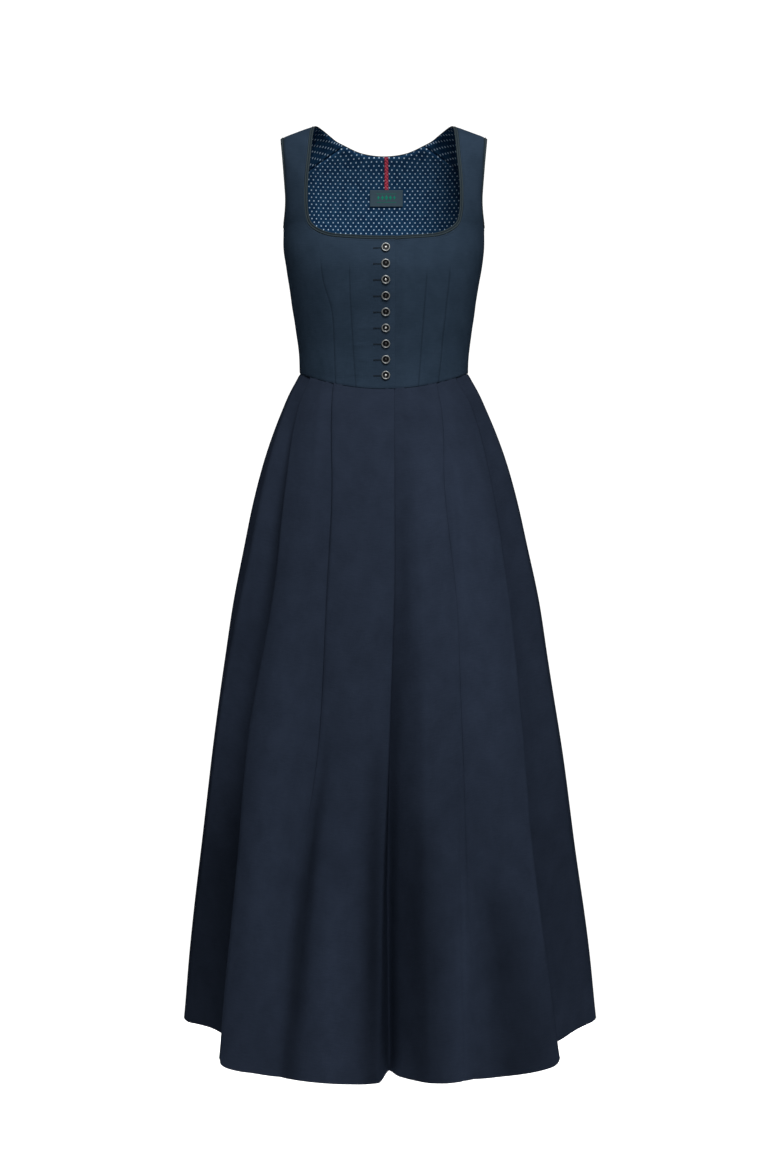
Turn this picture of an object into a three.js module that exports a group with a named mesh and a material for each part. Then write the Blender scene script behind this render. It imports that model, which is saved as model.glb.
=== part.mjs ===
// A sleeveless dirndl: a fitted bodice that buttons down the front, and an ankle-length skirt in deep pleats.
// It keeps the hollow shape it has when it is worn, with nothing inside it.
//
// Millimetres, +Z up. The origin lies midway between the shoulders, level with the highest point of the
// shoulder straps, where the wearer carries the dress. The front faces -Y, and the wearer's right is -X.
//
// Every cloth piece is a wall: a sheet of points on the dress's form, given a thickness inwards.
// A place on the bodice is told by two numbers. across is the angle round the section, 0 at the centre
// and +-90 at the side seams. along runs up the front (negative), over the shoulder (0) and down the
// back (positive), and below the armholes its size is the drop under the shoulder line.

import * as THREE from "three";

// ---------------------------------------------------------------- driving dimensions

const clothThickness = 1.2;
const liningThickness = 1.0;
const plyGap = 0.4; // between cloths that lie on each other
const seamGap = 0.3; // between two pieces that are sewn edge to edge
const bentSeamGap = 0.6; // the same where the cloth turns sharply at the seam
const waistGap = 1; // wider, because the two edges have their corners in different places
const liningDepth = clothThickness + plyGap; // the lining's outer face, under the form
const wallDepth = liningDepth + liningThickness; // the lining's inner face

const armholeDrop = 148; // how far under the shoulder line the armholes end
const waistDropSide = 366;
const waistDipFront = 23; // how much lower the waist seam lies at the centre front
const waistDipBack = 5;
const hemDrop = 1356;

const overlapHalf = 16; // the fronts overlap by twice this
const overlapDepth = wallDepth + plyGap; // the left front lies this far under the right front
const overlapClear = 2; // how far past the right front's edge it stays that deep
const overlapEase = 14; // width over which it then comes up to the form

const pipingWidth = 5.6;
const pipingRound = 1;
const pipingTop = 0.1; // how far the piping stands proud of the cloth, on each face

const buttonCount = 9;
const buttonX = 3;
const buttonGap = 0.3; // over the cloth
const topButtonDrop = 187;
const bottomButtonDrop = 369;

const trimThickness = 1; // of the tape and the label
const trimGap = 1.1; // under the lining's form, so that they clear its flat facets
const centreBackX = 3.5; // the label and the tape are sewn a little off the centre
const tapeWidth = 7;
const tapeTopDrop = 45;
const labelWidth = 51;
const labelHeight = 25;
const labelTopDrop = 84;

// The bodice's sections. drop is the height under the shoulder line, halfWidth is at the side seams,
// front and back are the depths at the centre, and power shapes the section: 1 is an ellipse, less is fuller.
const bodiceSections = [
  { drop: 148, halfWidth: 149.2, front: 116, back: 112, power: 0.75 },
  { drop: 183, halfWidth: 148.6, front: 124, back: 110, power: 0.75 },
  { drop: 211, halfWidth: 145, front: 127, back: 107, power: 0.76 },
  { drop: 241, halfWidth: 140.2, front: 122, back: 103, power: 0.78 },
  { drop: 286, halfWidth: 133.5, front: 110, back: 97, power: 0.84 },
  { drop: 331, halfWidth: 127.3, front: 99, back: 93, power: 0.92 },
  { drop: 366, halfWidth: 125.5, front: 95, back: 92, power: 0.95 },
  { drop: 394, halfWidth: 125.5, front: 95, back: 92, power: 0.95 },
];

// The shoulder line falls away from the neck as a hyperbola.
const shoulderSlope = 0.39;
const shoulderRound = 60;
const neckPointX = 100;

// Above the armholes' feet the form widens towards the shoulder, so that the armholes stand upright.
const widenLow = 1.7;
const widenHigh = 11;
const widenShare = 0.45; // share of the way up to the shoulder where the low part is complete

// The neckline where the cloth meets its piping, from the centre front over the shoulder to the centre back.
const necklineRows = [
  { x: 0, along: -175.6 },
  { x: 57.5, along: -172.7 },
  { x: 84.5, along: -168.3 },
  { x: 104.3, along: -157.6 },
  { x: 113.2, along: -144.5 },
  { x: 116.1, along: -127 },
  { x: 115.2, along: -103 },
  { x: 111.8, along: -73 },
  { x: 108.8, along: -28 },
  { x: 105.6, along: 1 },
  { x: 97.2, along: 26.3 },
  { x: 84, along: 47.6 },
  { x: 69, along: 61.8 },
  { x: 37.5, along: 77.9 },
  { x: 0, along: 83.4 },
];
const cornerRow = 3; // the neckline's lower corner
const seamRow = 12.2; // where the shoulder seam meets the neckline, behind the shoulder
const centreBackRow = necklineRows.length - 1;

// The armhole where the cloth meets its piping. Its inset is how far it is in from the side, in degrees.
const armholeBottom = 153.3;
const armholeRise = 40; // height of the rounded foot
const armholeInset = 19.8;
const armholeInsetTop = 4.4;
const strapFoot = 140; // where the first row of the strap meets the armhole
const armholeSeam = 104; // where the shoulder seam meets it, on the back

// The skirt's sections. down is the share of the way from the waist seam to the hem.
const skirtSections = [
  { down: 0.0, halfWidth: 125.5 },
  { down: 0.039, halfWidth: 146.3 },
  { down: 0.115, halfWidth: 174.7 },
  { down: 0.191, halfWidth: 196 },
  { down: 0.268, halfWidth: 212.4 },
  { down: 0.343, halfWidth: 227 },
  { down: 0.42, halfWidth: 238.2 },
  { down: 0.574, halfWidth: 259.9 },
  { down: 0.728, halfWidth: 278.1 },
  { down: 0.884, halfWidth: 296.8 },
  { down: 1.0, halfWidth: 308 },
];
const hemFront = 306;
const hemBack = 292;
const hemPower = 0.68;
const hemSway = 9; // how much wider the hem is on the wearer's left than in the middle
const hemRise = 9; // how much higher the hem is at the side seams

// The pleats. edge is the angle of the fold that shows, from the centre front, at the heights below.
// faces is the way the fold points, 1 towards growing angles. tuck is how far the cloth runs back
// under the fold at the waist. At the hem the pleat stands open: root is its deepest point and rise is
// a point where the cloth comes forward again, each as a distance past the fold and a depth behind it.
// landing is how many degrees past the fold the cloth is back on the skirt's outline, at waist and hem.
// openBy is the share of the skirt's length at which the pleat is open, and curl is how far its edge
// turns in at the hem.
const edgeHeights = [0, 0.05, 0.15, 0.3, 0.5, 0.7, 1];
const pleats = [
  { name: "back_right_inner", edge: [-150, -150, -151, -150, -151, -152, -153], faces: 1,
    tuck: 15, root: [12, 32], rise: [44, 20], landing: [9, 16], openBy: 1, curl: 4 },
  { name: "back_right_outer", edge: [-117, -119, -121, -124, -124, -125, -124], faces: 1,
    tuck: 16, root: [24, 62], rise: [112, 52], landing: [14, 27], openBy: 1, curl: 8 },
  { name: "front_right_outer", edge: [-60, -58.5, -51, -47, -52, -52, -53], faces: -1,
    tuck: 16, root: [32, 80], rise: [128, 98], landing: [16, 36], openBy: 1, curl: 0 },
  { name: "front_right_inner", edge: [-36, -30, -23.7, -21.5, -20.7, -24, -26.8], faces: -1,
    tuck: 14, root: [12, 5], rise: [26, 4], landing: [9, 12], openBy: 0.7, curl: 0 },
  { name: "front_opening", edge: [7, 6, 4.7, 4, 2, 0.1, -1.2], faces: 1,
    tuck: 14, root: [13, 66], rise: [28, 34], landing: [9, 12.5], openBy: 1, curl: 2 },
  { name: "front_left_inner", edge: [38, 34, 28, 27.4, 25.3, 23.6, 21.5], faces: 1,
    tuck: 14, root: [12, 4], rise: [26, 3], landing: [8, 11], openBy: 0.8, curl: 0 },
  { name: "front_left_outer", edge: [57.5, 62.5, 59.5, 56.3, 54, 52, 55.5], faces: 1,
    tuck: 16, root: [10, 44], rise: [104, 48], landing: [18, 33.5], openBy: 1, curl: 26 },
  { name: "back_left_outer", edge: [117, 118, 121, 122, 123, 123, 122], faces: -1,
    tuck: 16, root: [22, 58], rise: [106, 50], landing: [14, 25], openBy: 1, curl: 8 },
  { name: "back_left_inner", edge: [149, 150, 150, 149, 151, 153, 152], faces: -1,
    tuck: 15, root: [10, 24], rise: [42, 14], landing: [9, 16], openBy: 1, curl: 4 },
];
const foldStep = 2; // between the middles of two plies of a pressed fold
const riseClear = 2.6; // how far past the fold the cloth stays under it at the waist
const edgeRoundHem = 12;
const rootRoundHem = 16;
const openPower = 0.9; // 1 opens evenly down the skirt, less opens sooner
const panelSwell = 6; // how far a panel bows out between its pleats at the hem
const panelPoints = 2; // points of a panel between two pleats
const skirtRows = [0, 0.02, 0.06, 0.12, 0.2, 0.3, 0.42, 0.56, 0.7, 0.85, 1];

const clothColour = 0x26333f;
const skirtColour = 0x252b38;
const liningColour = 0x26405f;
const pipingColour = 0x3c4648;
const tapeColour = 0xb01838;
const labelColour = 0x4a535c;
const buttonColour = 0x8d9294;

// ---------------------------------------------------------------- numbers along tables

const degrees = Math.PI / 180;
const mix = (a, b, share) => a + (b - a) * share;
const clamp01 = (v) => Math.min(1, Math.max(0, v));
const smooth = (v) => clamp01(v) ** 2 * (3 - 2 * clamp01(v));
const quarter = (v) => Math.sqrt(1 - (1 - clamp01(v)) ** 2); // a quarter of a circle, from 0 to 1
const range = (count) => Array.from({ length: count }, (_, i) => i);

// The value at a place along rising stations, on a smooth curve through all the values.
function curveAt(stations, values, at) {
  const end = stations.length - 1;
  if (at <= stations[0]) return values[0];
  if (at >= stations[end]) return values[end];
  let i = 0;
  while (at > stations[i + 1]) i += 1;
  const slope = (k) => {
    const a = Math.max(0, k - 1);
    const b = Math.min(end, k + 1);
    return (values[b] - values[a]) / (stations[b] - stations[a]);
  };
  const span = stations[i + 1] - stations[i];
  const t = (at - stations[i]) / span;
  const rise = values[i + 1] - values[i];
  const bendIn = slope(i) * span - rise;
  const bendOut = rise - slope(i + 1) * span;
  return values[i] + rise * t + t * (1 - t) * (bendIn * (1 - t) + bendOut * t);
}

const columnAt = (rows, key, name, at) =>
  curveAt(rows.map((row) => row[key]), rows.map((row) => row[name]), at);

// ---------------------------------------------------------------- the bodice's form

const shoulderZ = (x) =>
  -shoulderSlope * (Math.hypot(x, shoulderRound) - Math.hypot(neckPointX, shoulderRound));

function waistDrop(across, isFront) {
  const dip = isFront ? waistDipFront : waistDipBack;
  return waistDropSide + dip * Math.cos(across * degrees) ** 2;
}

// How far up from the armholes' feet to the shoulder a place lies, from 0 to 1.
const shareUp = (along) => clamp01(1 - Math.abs(along) / armholeDrop);

function bodiceHalfWidth(along) {
  const up = shareUp(along);
  if (up <= 0) return columnAt(bodiceSections, "drop", "halfWidth", Math.abs(along));
  return bodiceSections[0].halfWidth + widenLow * quarter(up / widenShare) + widenHigh * smooth(up);
}

function bodicePoint(across, along) {
  const isFront = along < 0;
  const drop = Math.abs(along);
  const depth = columnAt(bodiceSections, "drop", isFront ? "front" : "back", drop);
  const power = columnAt(bodiceSections, "drop", "power", drop);
  const x = bodiceHalfWidth(along) * Math.sin(across * degrees);
  const y = (isFront ? -1 : 1) * depth * Math.max(0, Math.cos(across * degrees)) ** power;
  const up = shareUp(along);
  if (up <= 0) return new THREE.Vector3(x, y, -drop);
  const turn = (up * Math.PI) / 2;
  return new THREE.Vector3(x, y * Math.cos(turn), mix(-armholeDrop, shoulderZ(x), Math.sin(turn)));
}

// The form's outward direction.
function bodiceNormal(across, along) {
  const acrossStep = across > 0 ? -1 : 1;
  const alongStep = along > 0 ? -1 : 1;
  const here = bodicePoint(across, along);
  const sideways = bodicePoint(across + acrossStep, along).sub(here).multiplyScalar(acrossStep);
  const onwards = bodicePoint(across, along + alongStep).sub(here).multiplyScalar(alongStep);
  return sideways.cross(onwards).normalize();
}

const acrossAt = (x, along) =>
  Math.asin(Math.min(1, Math.max(-1, x / bodiceHalfWidth(along)))) / degrees;

// The size of along for a drop under the shoulder line that is above the armholes' feet.
const alongAtDrop = (drop, x) =>
  armholeDrop * (1 - Math.asin((armholeDrop - drop) / (armholeDrop + shoulderZ(x))) / (90 * degrees));

// ---------------------------------------------------------------- places and lines on the form

const place = (across, along) => ({ across, along });
const mirrored = (p) => place(-p.across, p.along);
const mixPlaces = (a, b, share) =>
  place(mix(a.across, b.across, share), mix(a.along, b.along, share));

// A line of places, made by a function of a share from 0 to 1.
const line = (steps, at) => range(steps + 1).map((i) => at(i / steps));
const join = (...lines) => lines.reduce((whole, next) => [...whole, ...next.slice(1)]);

// The neckline at a row number, which may lie between rows. It runs level through both centres.
const pastCentre = ({ x, along }) => ({ x: -x, along });
const necklineTable = [
  pastCentre(necklineRows[1]),
  ...necklineRows,
  pastCentre(necklineRows[centreBackRow - 1]),
];
function neckline(row) {
  const stations = range(necklineTable.length).map((i) => i - 1);
  const x = Math.sign(row) * curveAt(stations, necklineTable.map((r) => r.x), Math.abs(row));
  const along = curveAt(stations, necklineTable.map((r) => r.along), Math.abs(row));
  return place(acrossAt(x, along), along);
}

// The armhole at a size of along, which is negative in front.
function armhole(along) {
  const foot = quarter((armholeBottom - Math.abs(along)) / armholeRise);
  const above = smooth(1 - Math.abs(along) / (armholeBottom - armholeRise));
  return place(90 - armholeInset * foot - armholeInsetTop * above, along);
}

// A block of places between two lines.
const ruledBlock = (first, last, steps) =>
  line(steps, (share) => first.map((start, i) => mixPlaces(start, last[i], share)));

// A block between four lines.
function framedBlock(first, last, left, right) {
  const columns = first.length - 1;
  const rows = left.length - 1;
  const at = (name, i, j) => {
    const u = i / columns;
    const v = j / rows;
    const sides = mix(left[j][name], right[j][name], u);
    const ends = mix(first[i][name], last[i][name], v);
    const firstCorners = mix(first[0][name], first[columns][name], u);
    const lastCorners = mix(last[0][name], last[columns][name], u);
    return sides + ends - mix(firstCorners, lastCorners, v);
  };
  return left.map((_, j) => first.map((__, i) => place(at("across", i, j), at("along", i, j))));
}

// ---------------------------------------------------------------- closed meshes

// A closed geometry from points and triangles, turned to face out.
function closedGeometry(points, triangles) {
  const volume = triangles.reduce(
    (sum, [a, b, c]) => sum + points[a].dot(points[b].clone().cross(points[c])),
    0,
  );
  const index = triangles.flatMap(([a, b, c]) => (volume < 0 ? [a, c, b] : [a, b, c]));
  return new THREE.BufferGeometry()
    .setAttribute("position", new THREE.Float32BufferAttribute(points.flatMap((p) => p.toArray()), 3))
    .setIndex(index);
}

// A wall from blocks of {point, normal}: two faces, moved along the normals, and the rim between them.
function wall(blocks, outer, inner) {
  const sheet = [];
  const known = new Map();
  const indexOf = (corner) => {
    const key = corner.point.toArray().map((v) => Math.round(v * 1000)).join();
    if (!known.has(key)) known.set(key, sheet.push(corner) - 1);
    return known.get(key);
  };
  const faces = [];
  for (const rows of blocks)
    for (let j = 0; j + 1 < rows.length; j += 1)
      for (let i = 0; i + 1 < rows[j].length; i += 1) {
        const [a, b] = [indexOf(rows[j][i]), indexOf(rows[j][i + 1])];
        const [d, c] = [indexOf(rows[j + 1][i]), indexOf(rows[j + 1][i + 1])];
        faces.push([a, b, c], [a, c, d]);
      }
  const whole = faces.filter(([a, b, c]) => a !== b && b !== c && c !== a);
  const moved = (by) => sheet.map(({ point, normal }) => point.clone().addScaledVector(normal, by));
  const edgesOf = ([a, b, c]) => [[a, b], [b, c], [c, a]];
  const edges = new Set(whole.flatMap(edgesOf).map(([from, to]) => `${from},${to}`));
  const back = sheet.length;
  const inside = whole.map(([a, b, c]) => [c + back, b + back, a + back]);
  const rim = whole
    .flatMap(edgesOf)
    .filter(([from, to]) => !edges.has(`${to},${from}`))
    .flatMap(([from, to]) => [[from, from + back, to + back], [from, to + back, to]]);
  return closedGeometry([...moved(outer), ...moved(inner)], [...whole, ...inside, ...rim]);
}

// A bar that carries a section along stations of {point, out, up}. The section is a list of [out, up].
function sweep(stations, section, isLoop) {
  const size = section.length;
  const points = stations.flatMap(({ point, out, up }) =>
    section.map(([s, n]) => point.clone().addScaledVector(out, s).addScaledVector(up, n)),
  );
  const triangles = [];
  const steps = isLoop ? stations.length : stations.length - 1;
  for (const j of range(steps))
    for (const i of range(size)) {
      const [a, b] = [j * size + i, j * size + ((i + 1) % size)];
      const next = ((j + 1) % stations.length) * size;
      const [d, c] = [next + i, next + ((i + 1) % size)];
      triangles.push([a, b, c], [a, c, d]);
    }
  const end = points.length - size;
  if (!isLoop)
    for (const i of range(size - 2))
      triangles.push([0, i + 2, i + 1], [end, end + i + 1, end + i + 2]);
  return closedGeometry(points, triangles);
}

// ---------------------------------------------------------------- the dress and its nodes

const dress = new THREE.Group();

function addNode(name, geometry, color, roughness = 0.9, metalness = 0) {
  const mesh = new THREE.Mesh(geometry, new THREE.MeshStandardMaterial({ color, roughness, metalness }));
  mesh.name = name;
  dress.add(mesh);
  return mesh;
}

// ---------------------------------------------------------------- bodice

const rightSide = -1;
const leftSide = 1;
const sideEdge = 90 - Math.asin(seamGap / 2 / bodiceSections[0].front) / degrees;
const frontWaist = (across) => place(across, -(waistDrop(across, true) - waistGap / 2));
const backWaist = (across) => place(across, waistDrop(across, false) - waistGap / 2);

// The left front lies this deep where the right front covers it, and comes up to the form past that.
const overlapEnd = overlapHalf + overlapClear + overlapEase;
const overlapDrop = (x) => overlapDepth * smooth((overlapEnd - x) / overlapEase);

// The rows of the neckline and the places along the armhole where the pieces have their corners,
// which the piping shares so that it fits them. Both fronts have the same ones where they overlap.
const rowsPerMillimetre = 1 / necklineRows[1].x;
const overlapRows = [-overlapHalf, 0, overlapHalf + overlapClear, overlapEnd].map(
  (x) => x * rowsPerMillimetre,
);
const steps = (count, from, to) => line(count, (f) => mix(from, to, f));
const bottomRows = steps(3, overlapEnd * rowsPerMillimetre, cornerRow);
const strapRows = steps(12, cornerRow, seamRow);
const backRows = steps(4, seamRow, centreBackRow);
const frontFoot = steps(3, -armholeBottom, -strapFoot);
const strapArm = steps(12, -strapFoot, armholeSeam);
const backArm = steps(3, armholeSeam, strapFoot);
const backFoot = steps(3, strapFoot, armholeBottom);
const strapColumns = 3;
const bodiceRows = 6; // from the waist to the armholes

// A front on the side where across is positive, from its edge past the centre to the side seam,
// with the strap over the shoulder to the seam behind it.
function frontBlocks() {
  const corner = neckline(cornerRow);
  const foot = armhole(-strapFoot);
  const innerPart = overlapRows.map(neckline);
  const knee = innerPart[innerPart.length - 1];
  const kneeAtWaist = acrossAt(overlapEnd, -waistDropSide);
  const outerPart = join(
    bottomRows.map(neckline),
    line(strapColumns, (f) => mixPlaces(corner, foot, f)),
    [...frontFoot].reverse().map(armhole),
  );
  outerPart[outerPart.length - 1] = place(sideEdge, -armholeBottom);
  const innerWaist = innerPart.map((p) => {
    const x = bodicePoint(p.across, p.along).x;
    return frontWaist(acrossAt(x, -waistDropSide));
  });
  const outerWaist = outerPart.map((p) => {
    const share = (p.across - knee.across) / (sideEdge - knee.across);
    return frontWaist(mix(kneeAtWaist, sideEdge, share));
  });
  const strap = strapRows.map((row, j) =>
    line(strapColumns, (f) => mixPlaces(neckline(row), armhole(strapArm[j]), f)),
  );
  return [ruledBlock(join(innerWaist, outerWaist), join(innerPart, outerPart), bodiceRows), strap];
}

// The back: one piece from side seam to side seam, up to the neckline and the two shoulder seams.
function backBlocks() {
  const past = (p) => place(p.across, p.along + 2 * seamGap);
  const foot = armhole(strapFoot);
  const seam = line(3, (f) => past(mixPlaces(armhole(armholeSeam), neckline(seamRow), f)));
  const neck = backRows.map(neckline);
  neck[0] = seam[seam.length - 1];
  const halfTop = join(seam, neck);
  const top = join(halfTop.map(mirrored), [...halfTop].reverse());
  const armSide = backArm.map(armhole);
  armSide[0] = past(armSide[0]);
  const chest = line(top.length - 1, (f) => place(mix(-foot.across, foot.across, f), strapFoot));
  const armFoot = backFoot.map(armhole);
  armFoot[armFoot.length - 1] = place(sideEdge, armholeBottom);
  const under = join(armFoot.map(mirrored).reverse(), chest, armFoot);
  const bottom = under.map((p) => backWaist(p.across));
  return [framedBlock(top, chest, armSide.map(mirrored), armSide), ruledBlock(under, bottom, bodiceRows)];
}

// The points and normals of a block, on the wearer's right or left.
function placed(block, side, dips) {
  const corner = ({ across, along }) => {
    const point = bodicePoint(across, along);
    const normal = bodiceNormal(across, along);
    if (dips && along < 0) point.addScaledVector(normal, -overlapDrop(point.x));
    point.x *= side;
    normal.x *= side;
    return { point, normal };
  };
  return block.map((row) => row.map(corner));
}

for (const [side, word] of [[rightSide, "right"], [leftSide, "left"]]) {
  const sheet = frontBlocks().map((block) => placed(block, side, side === leftSide));
  addNode(`front_${word}`, wall(sheet, 0, -clothThickness), clothColour);
  addNode(`lining_front_${word}`, wall(sheet, -liningDepth, -wallDepth), liningColour);
}
const backSheet = backBlocks().map((block) => placed(block, leftSide, false));
addNode("back", wall(backSheet, 0, -clothThickness), clothColour);
addNode("lining_back", wall(backSheet, -liningDepth, -wallDepth), liningColour);

// ---------------------------------------------------------------- piping

const pipingLow = seamGap;
const pipingHigh = seamGap + pipingWidth;
const pipingSection = [
  [pipingLow, -pipingRound],
  [pipingLow + pipingRound, pipingTop],
  [pipingHigh - pipingRound, pipingTop],
  [pipingHigh, -pipingRound],
  [pipingHigh, pipingRound - wallDepth],
  [pipingHigh - pipingRound, -wallDepth - pipingTop],
  [pipingLow + pipingRound, -wallDepth - pipingTop],
  [pipingLow, pipingRound - wallDepth],
];

// Stations along the edge of a piece. out points away from the cloth, to the right hand of the way
// that the line runs (hand 1) or to its left (hand -1).
function edgeStations(corners, isLoop, hand) {
  const count = corners.length;
  const near = (i) => corners[isLoop ? (i + count) % count : Math.min(count - 1, Math.max(0, i))];
  return corners.map(({ point, normal }, i) => {
    const way = near(i + 1).point.clone().sub(near(i - 1).point);
    return { point, out: way.cross(normal).normalize().multiplyScalar(hand), up: normal };
  });
}

// The neck piping starts on the right front, goes round the neck, and ends under it on the left front.
function neckStations() {
  const rows = join(overlapRows, bottomRows, strapRows, backRows);
  const right = placed([rows.map(neckline)], rightSide, false)[0];
  const left = placed([rows.map(neckline)], leftSide, true)[0];
  return edgeStations([...right, ...left.reverse().slice(1)], false, 1);
}

// An arm piping is a loop that starts under the arm and runs up the front.
const armLine = join(frontFoot, strapArm, backArm, backFoot).map(armhole).slice(1);
const armStations = (side) => edgeStations(placed([armLine], side, false)[0], true, side);

addNode("neck_piping", sweep(neckStations(), pipingSection, false), pipingColour);
addNode("arm_piping_right", sweep(armStations(rightSide), pipingSection, true), pipingColour);
addNode("arm_piping_left", sweep(armStations(leftSide), pipingSection, true), pipingColour);

// ---------------------------------------------------------------- label and hanging tape

// A small piece sewn flat on the inside of the back, between two drops.
function trimWall(width, topDrop, height, depth) {
  const rows = line(4, (f) => {
    const drop = topDrop + height * f;
    const along = alongAtDrop(drop, centreBackX);
    return line(4, (g) => place(acrossAt(centreBackX + width * (g - 0.5), along), along));
  });
  return wall([placed(rows, leftSide, false)], -depth, -depth - trimThickness);
}

const tapeLength = labelTopDrop - seamGap - tapeTopDrop;
const underLining = wallDepth + trimGap;
addNode("back_tape", trimWall(tapeWidth, tapeTopDrop, tapeLength, underLining + pipingTop), tapeColour);
addNode("label", trimWall(labelWidth, labelTopDrop, labelHeight, underLining), labelColour);

// ---------------------------------------------------------------- buttons

// Half of a button's section, from its underside round the ring and over the boss in its middle.
const buttonProfile = [
  [0, 0],
  [4.9, 0],
  [5.9, 0.7],
  [6.25, 1.8],
  [5.5, 2.9],
  [4.6, 2.8],
  [4.0, 1.5],
  [1.9, 1.4],
  [1.5, 2.2],
  [0, 2.7],
].map(([radius, height]) => new THREE.Vector2(radius, height));
const buttonSides = 16;
const seatRadius = 5.5; // the part of a button that the cloth can touch
const seatReach = 20;
const upright = new THREE.Vector3(0, 1, 0);
const ray = new THREE.Raycaster();

// How far the button's plane has to move out to lie just over the cloth, whose facets are flat.
function seatHeight(cloth, centre, turn) {
  const normal = upright.clone().applyQuaternion(turn);
  const spokes = range(buttonSides).map((i) => (i * 360 * degrees) / buttonSides);
  const rim = spokes.map((a) => new THREE.Vector3(Math.cos(a), 0, Math.sin(a)).multiplyScalar(seatRadius));
  const heights = [new THREE.Vector3(), ...rim].map((offset) => {
    const start = centre.clone().add(offset.applyQuaternion(turn)).addScaledVector(normal, seatReach);
    ray.set(start, normal.clone().negate());
    return seatReach - ray.intersectObject(cloth)[0].distance;
  });
  return Math.max(...heights) + buttonGap;
}

const buttonCloth = dress.getObjectByName("front_right");
for (const i of range(buttonCount)) {
  const drop = mix(topButtonDrop, bottomButtonDrop, i / (buttonCount - 1));
  const across = acrossAt(buttonX, -drop);
  const normal = bodiceNormal(across, -drop);
  const centre = bodicePoint(across, -drop);
  const turn = new THREE.Quaternion().setFromUnitVectors(upright, normal);
  const shape = new THREE.LatheGeometry(buttonProfile, buttonSides);
  const button = addNode(`button_${i + 1}`, shape, buttonColour, 0.4, 0.8);
  button.position.copy(centre.addScaledVector(normal, seatHeight(buttonCloth, centre, turn)));
  button.quaternion.copy(turn);
}

// ---------------------------------------------------------------- the skirt's form

function skirtFlare(down) {
  const top = skirtSections[0].halfWidth;
  const hem = skirtSections[skirtSections.length - 1].halfWidth;
  return (columnAt(skirtSections, "down", "halfWidth", down) - top) / (hem - top);
}

// A point of the skirt's outline at an angle round it, sunk inwards by a depth.
function skirtPoint(angle, down, depth) {
  const waist = bodiceSections[bodiceSections.length - 1];
  const isFront = Math.abs(angle) < 90;
  const flare = skirtFlare(down);
  const halfWidth = columnAt(skirtSections, "down", "halfWidth", down);
  const power = mix(waist.power, hemPower, flare);
  const centreDepth = isFront ? mix(waist.front, hemFront, flare) : mix(waist.back, hemBack, flare);
  const at = (turn) => {
    const sine = Math.sin(turn * degrees);
    const inward = Math.abs(Math.cos(turn * degrees)) ** power;
    const x = sine * halfWidth + Math.abs(sine) * hemSway * down;
    return new THREE.Vector2(x, (Math.abs(turn) < 90 ? -1 : 1) * centreDepth * inward);
  };
  const step = isFront === angle > 0 ? -1 : 1;
  const here = at(angle);
  const along = at(angle + step).sub(here).multiplyScalar(step);
  const perDegree = along.length();
  along.normalize();
  const inward = new THREE.Vector2(-along.y, along.x);
  return { here: here.addScaledVector(inward, depth), along, inward, perDegree };
}

const skirtDrop = (angle, down) =>
  mix(
    waistDrop(angle, Math.abs(angle) < 90) + waistGap / 2,
    hemDrop - hemRise * Math.sin(angle * degrees) ** 4,
    down,
  );

const skirtVertex = (plan, angle, down) => new THREE.Vector3(plan.x, plan.y, -skirtDrop(angle, down));

// ---------------------------------------------------------------- pleats

const midCloth = clothThickness / 2;
const rootPoint = 4; // the number, from 0, of a pleat's point at the middle of its root

// Seven points of a pleat as [past the fold, behind it]: three round the fold, three round its root,
// and one where the cloth comes out from under it.
function pressedPleat({ tuck }) {
  const half = foldStep / 2;
  return [
    [-half, 0],
    [0, half],
    [-half, foldStep],
    [half - tuck, foldStep],
    [-tuck, foldStep + half],
    [half - tuck, 2 * foldStep],
    [riseClear, 2 * foldStep],
  ];
}

function openPleat({ root, rise, curl }) {
  const vector = ([s, n]) => new THREE.Vector2(s, n);
  const rootAt = vector(root);
  const riseAt = vector(rise);
  const round = Math.min(edgeRoundHem, rootAt.length() / 2);
  const rootRound = Math.min(rootRoundHem, rootAt.length() / 2);
  const edgeIn = new THREE.Vector2(-round / 2, 0);
  const edgeOut = rootAt.clone().setLength(round);
  const edgeMid = edgeIn.clone().add(edgeOut).multiplyScalar(0.25);
  const rootIn = rootAt.clone().addScaledVector(rootAt.clone().normalize(), -rootRound / 2);
  const rootOut = rootAt.clone().add(riseAt.clone().sub(rootAt).setLength(rootRound / 2));
  const rootMid = rootIn.clone().add(rootOut).multiplyScalar(0.25).addScaledVector(rootAt, 0.5);
  return [edgeIn, edgeMid, edgeOut, rootIn, rootMid, rootOut, riseAt].map((p) => [p.x, p.y + curl]);
}

// A pleat's points on the skirt at a height, in the order of growing angles, with its end angles.
function pleatAt(pleat, down) {
  const angle = curveAt(edgeHeights, pleat.edge, down);
  const open = clamp01(down / pleat.openBy) ** openPower;
  const closed = pressedPleat(pleat);
  const { here, along, inward, perDegree } = skirtPoint(angle, down, midCloth);
  const points = openPleat(pleat).map(([s, n], i) => {
    const past = mix(closed[i][0], s, open) * pleat.faces;
    const behind = mix(closed[i][1], n, open);
    const plan = here.clone().addScaledVector(along, past).addScaledVector(inward, behind);
    return skirtVertex(plan, angle + past / perDegree, down);
  });
  const landing = angle + pleat.faces * mix(pleat.landing[0], pleat.landing[1], down);
  points.push(skirtVertex(skirtPoint(landing, down, midCloth).here, landing, down));
  if (pleat.faces > 0) return { points, from: angle, to: landing };
  return { points: points.reverse(), from: landing, to: angle };
}

// Points of a panel between two angles, ends left out.
const panelAt = (from, to, down) =>
  range(panelPoints).map((i) => {
    const share = (i + 1) / (panelPoints + 1);
    const angle = mix(from, to, share);
    const swell = panelSwell * down * Math.sin(share * Math.PI);
    return skirtVertex(skirtPoint(angle, down, midCloth - swell).here, angle, down);
  });

const seamPoint = (angle, down) => skirtVertex(skirtPoint(angle, down, midCloth).here, angle, down);

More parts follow.
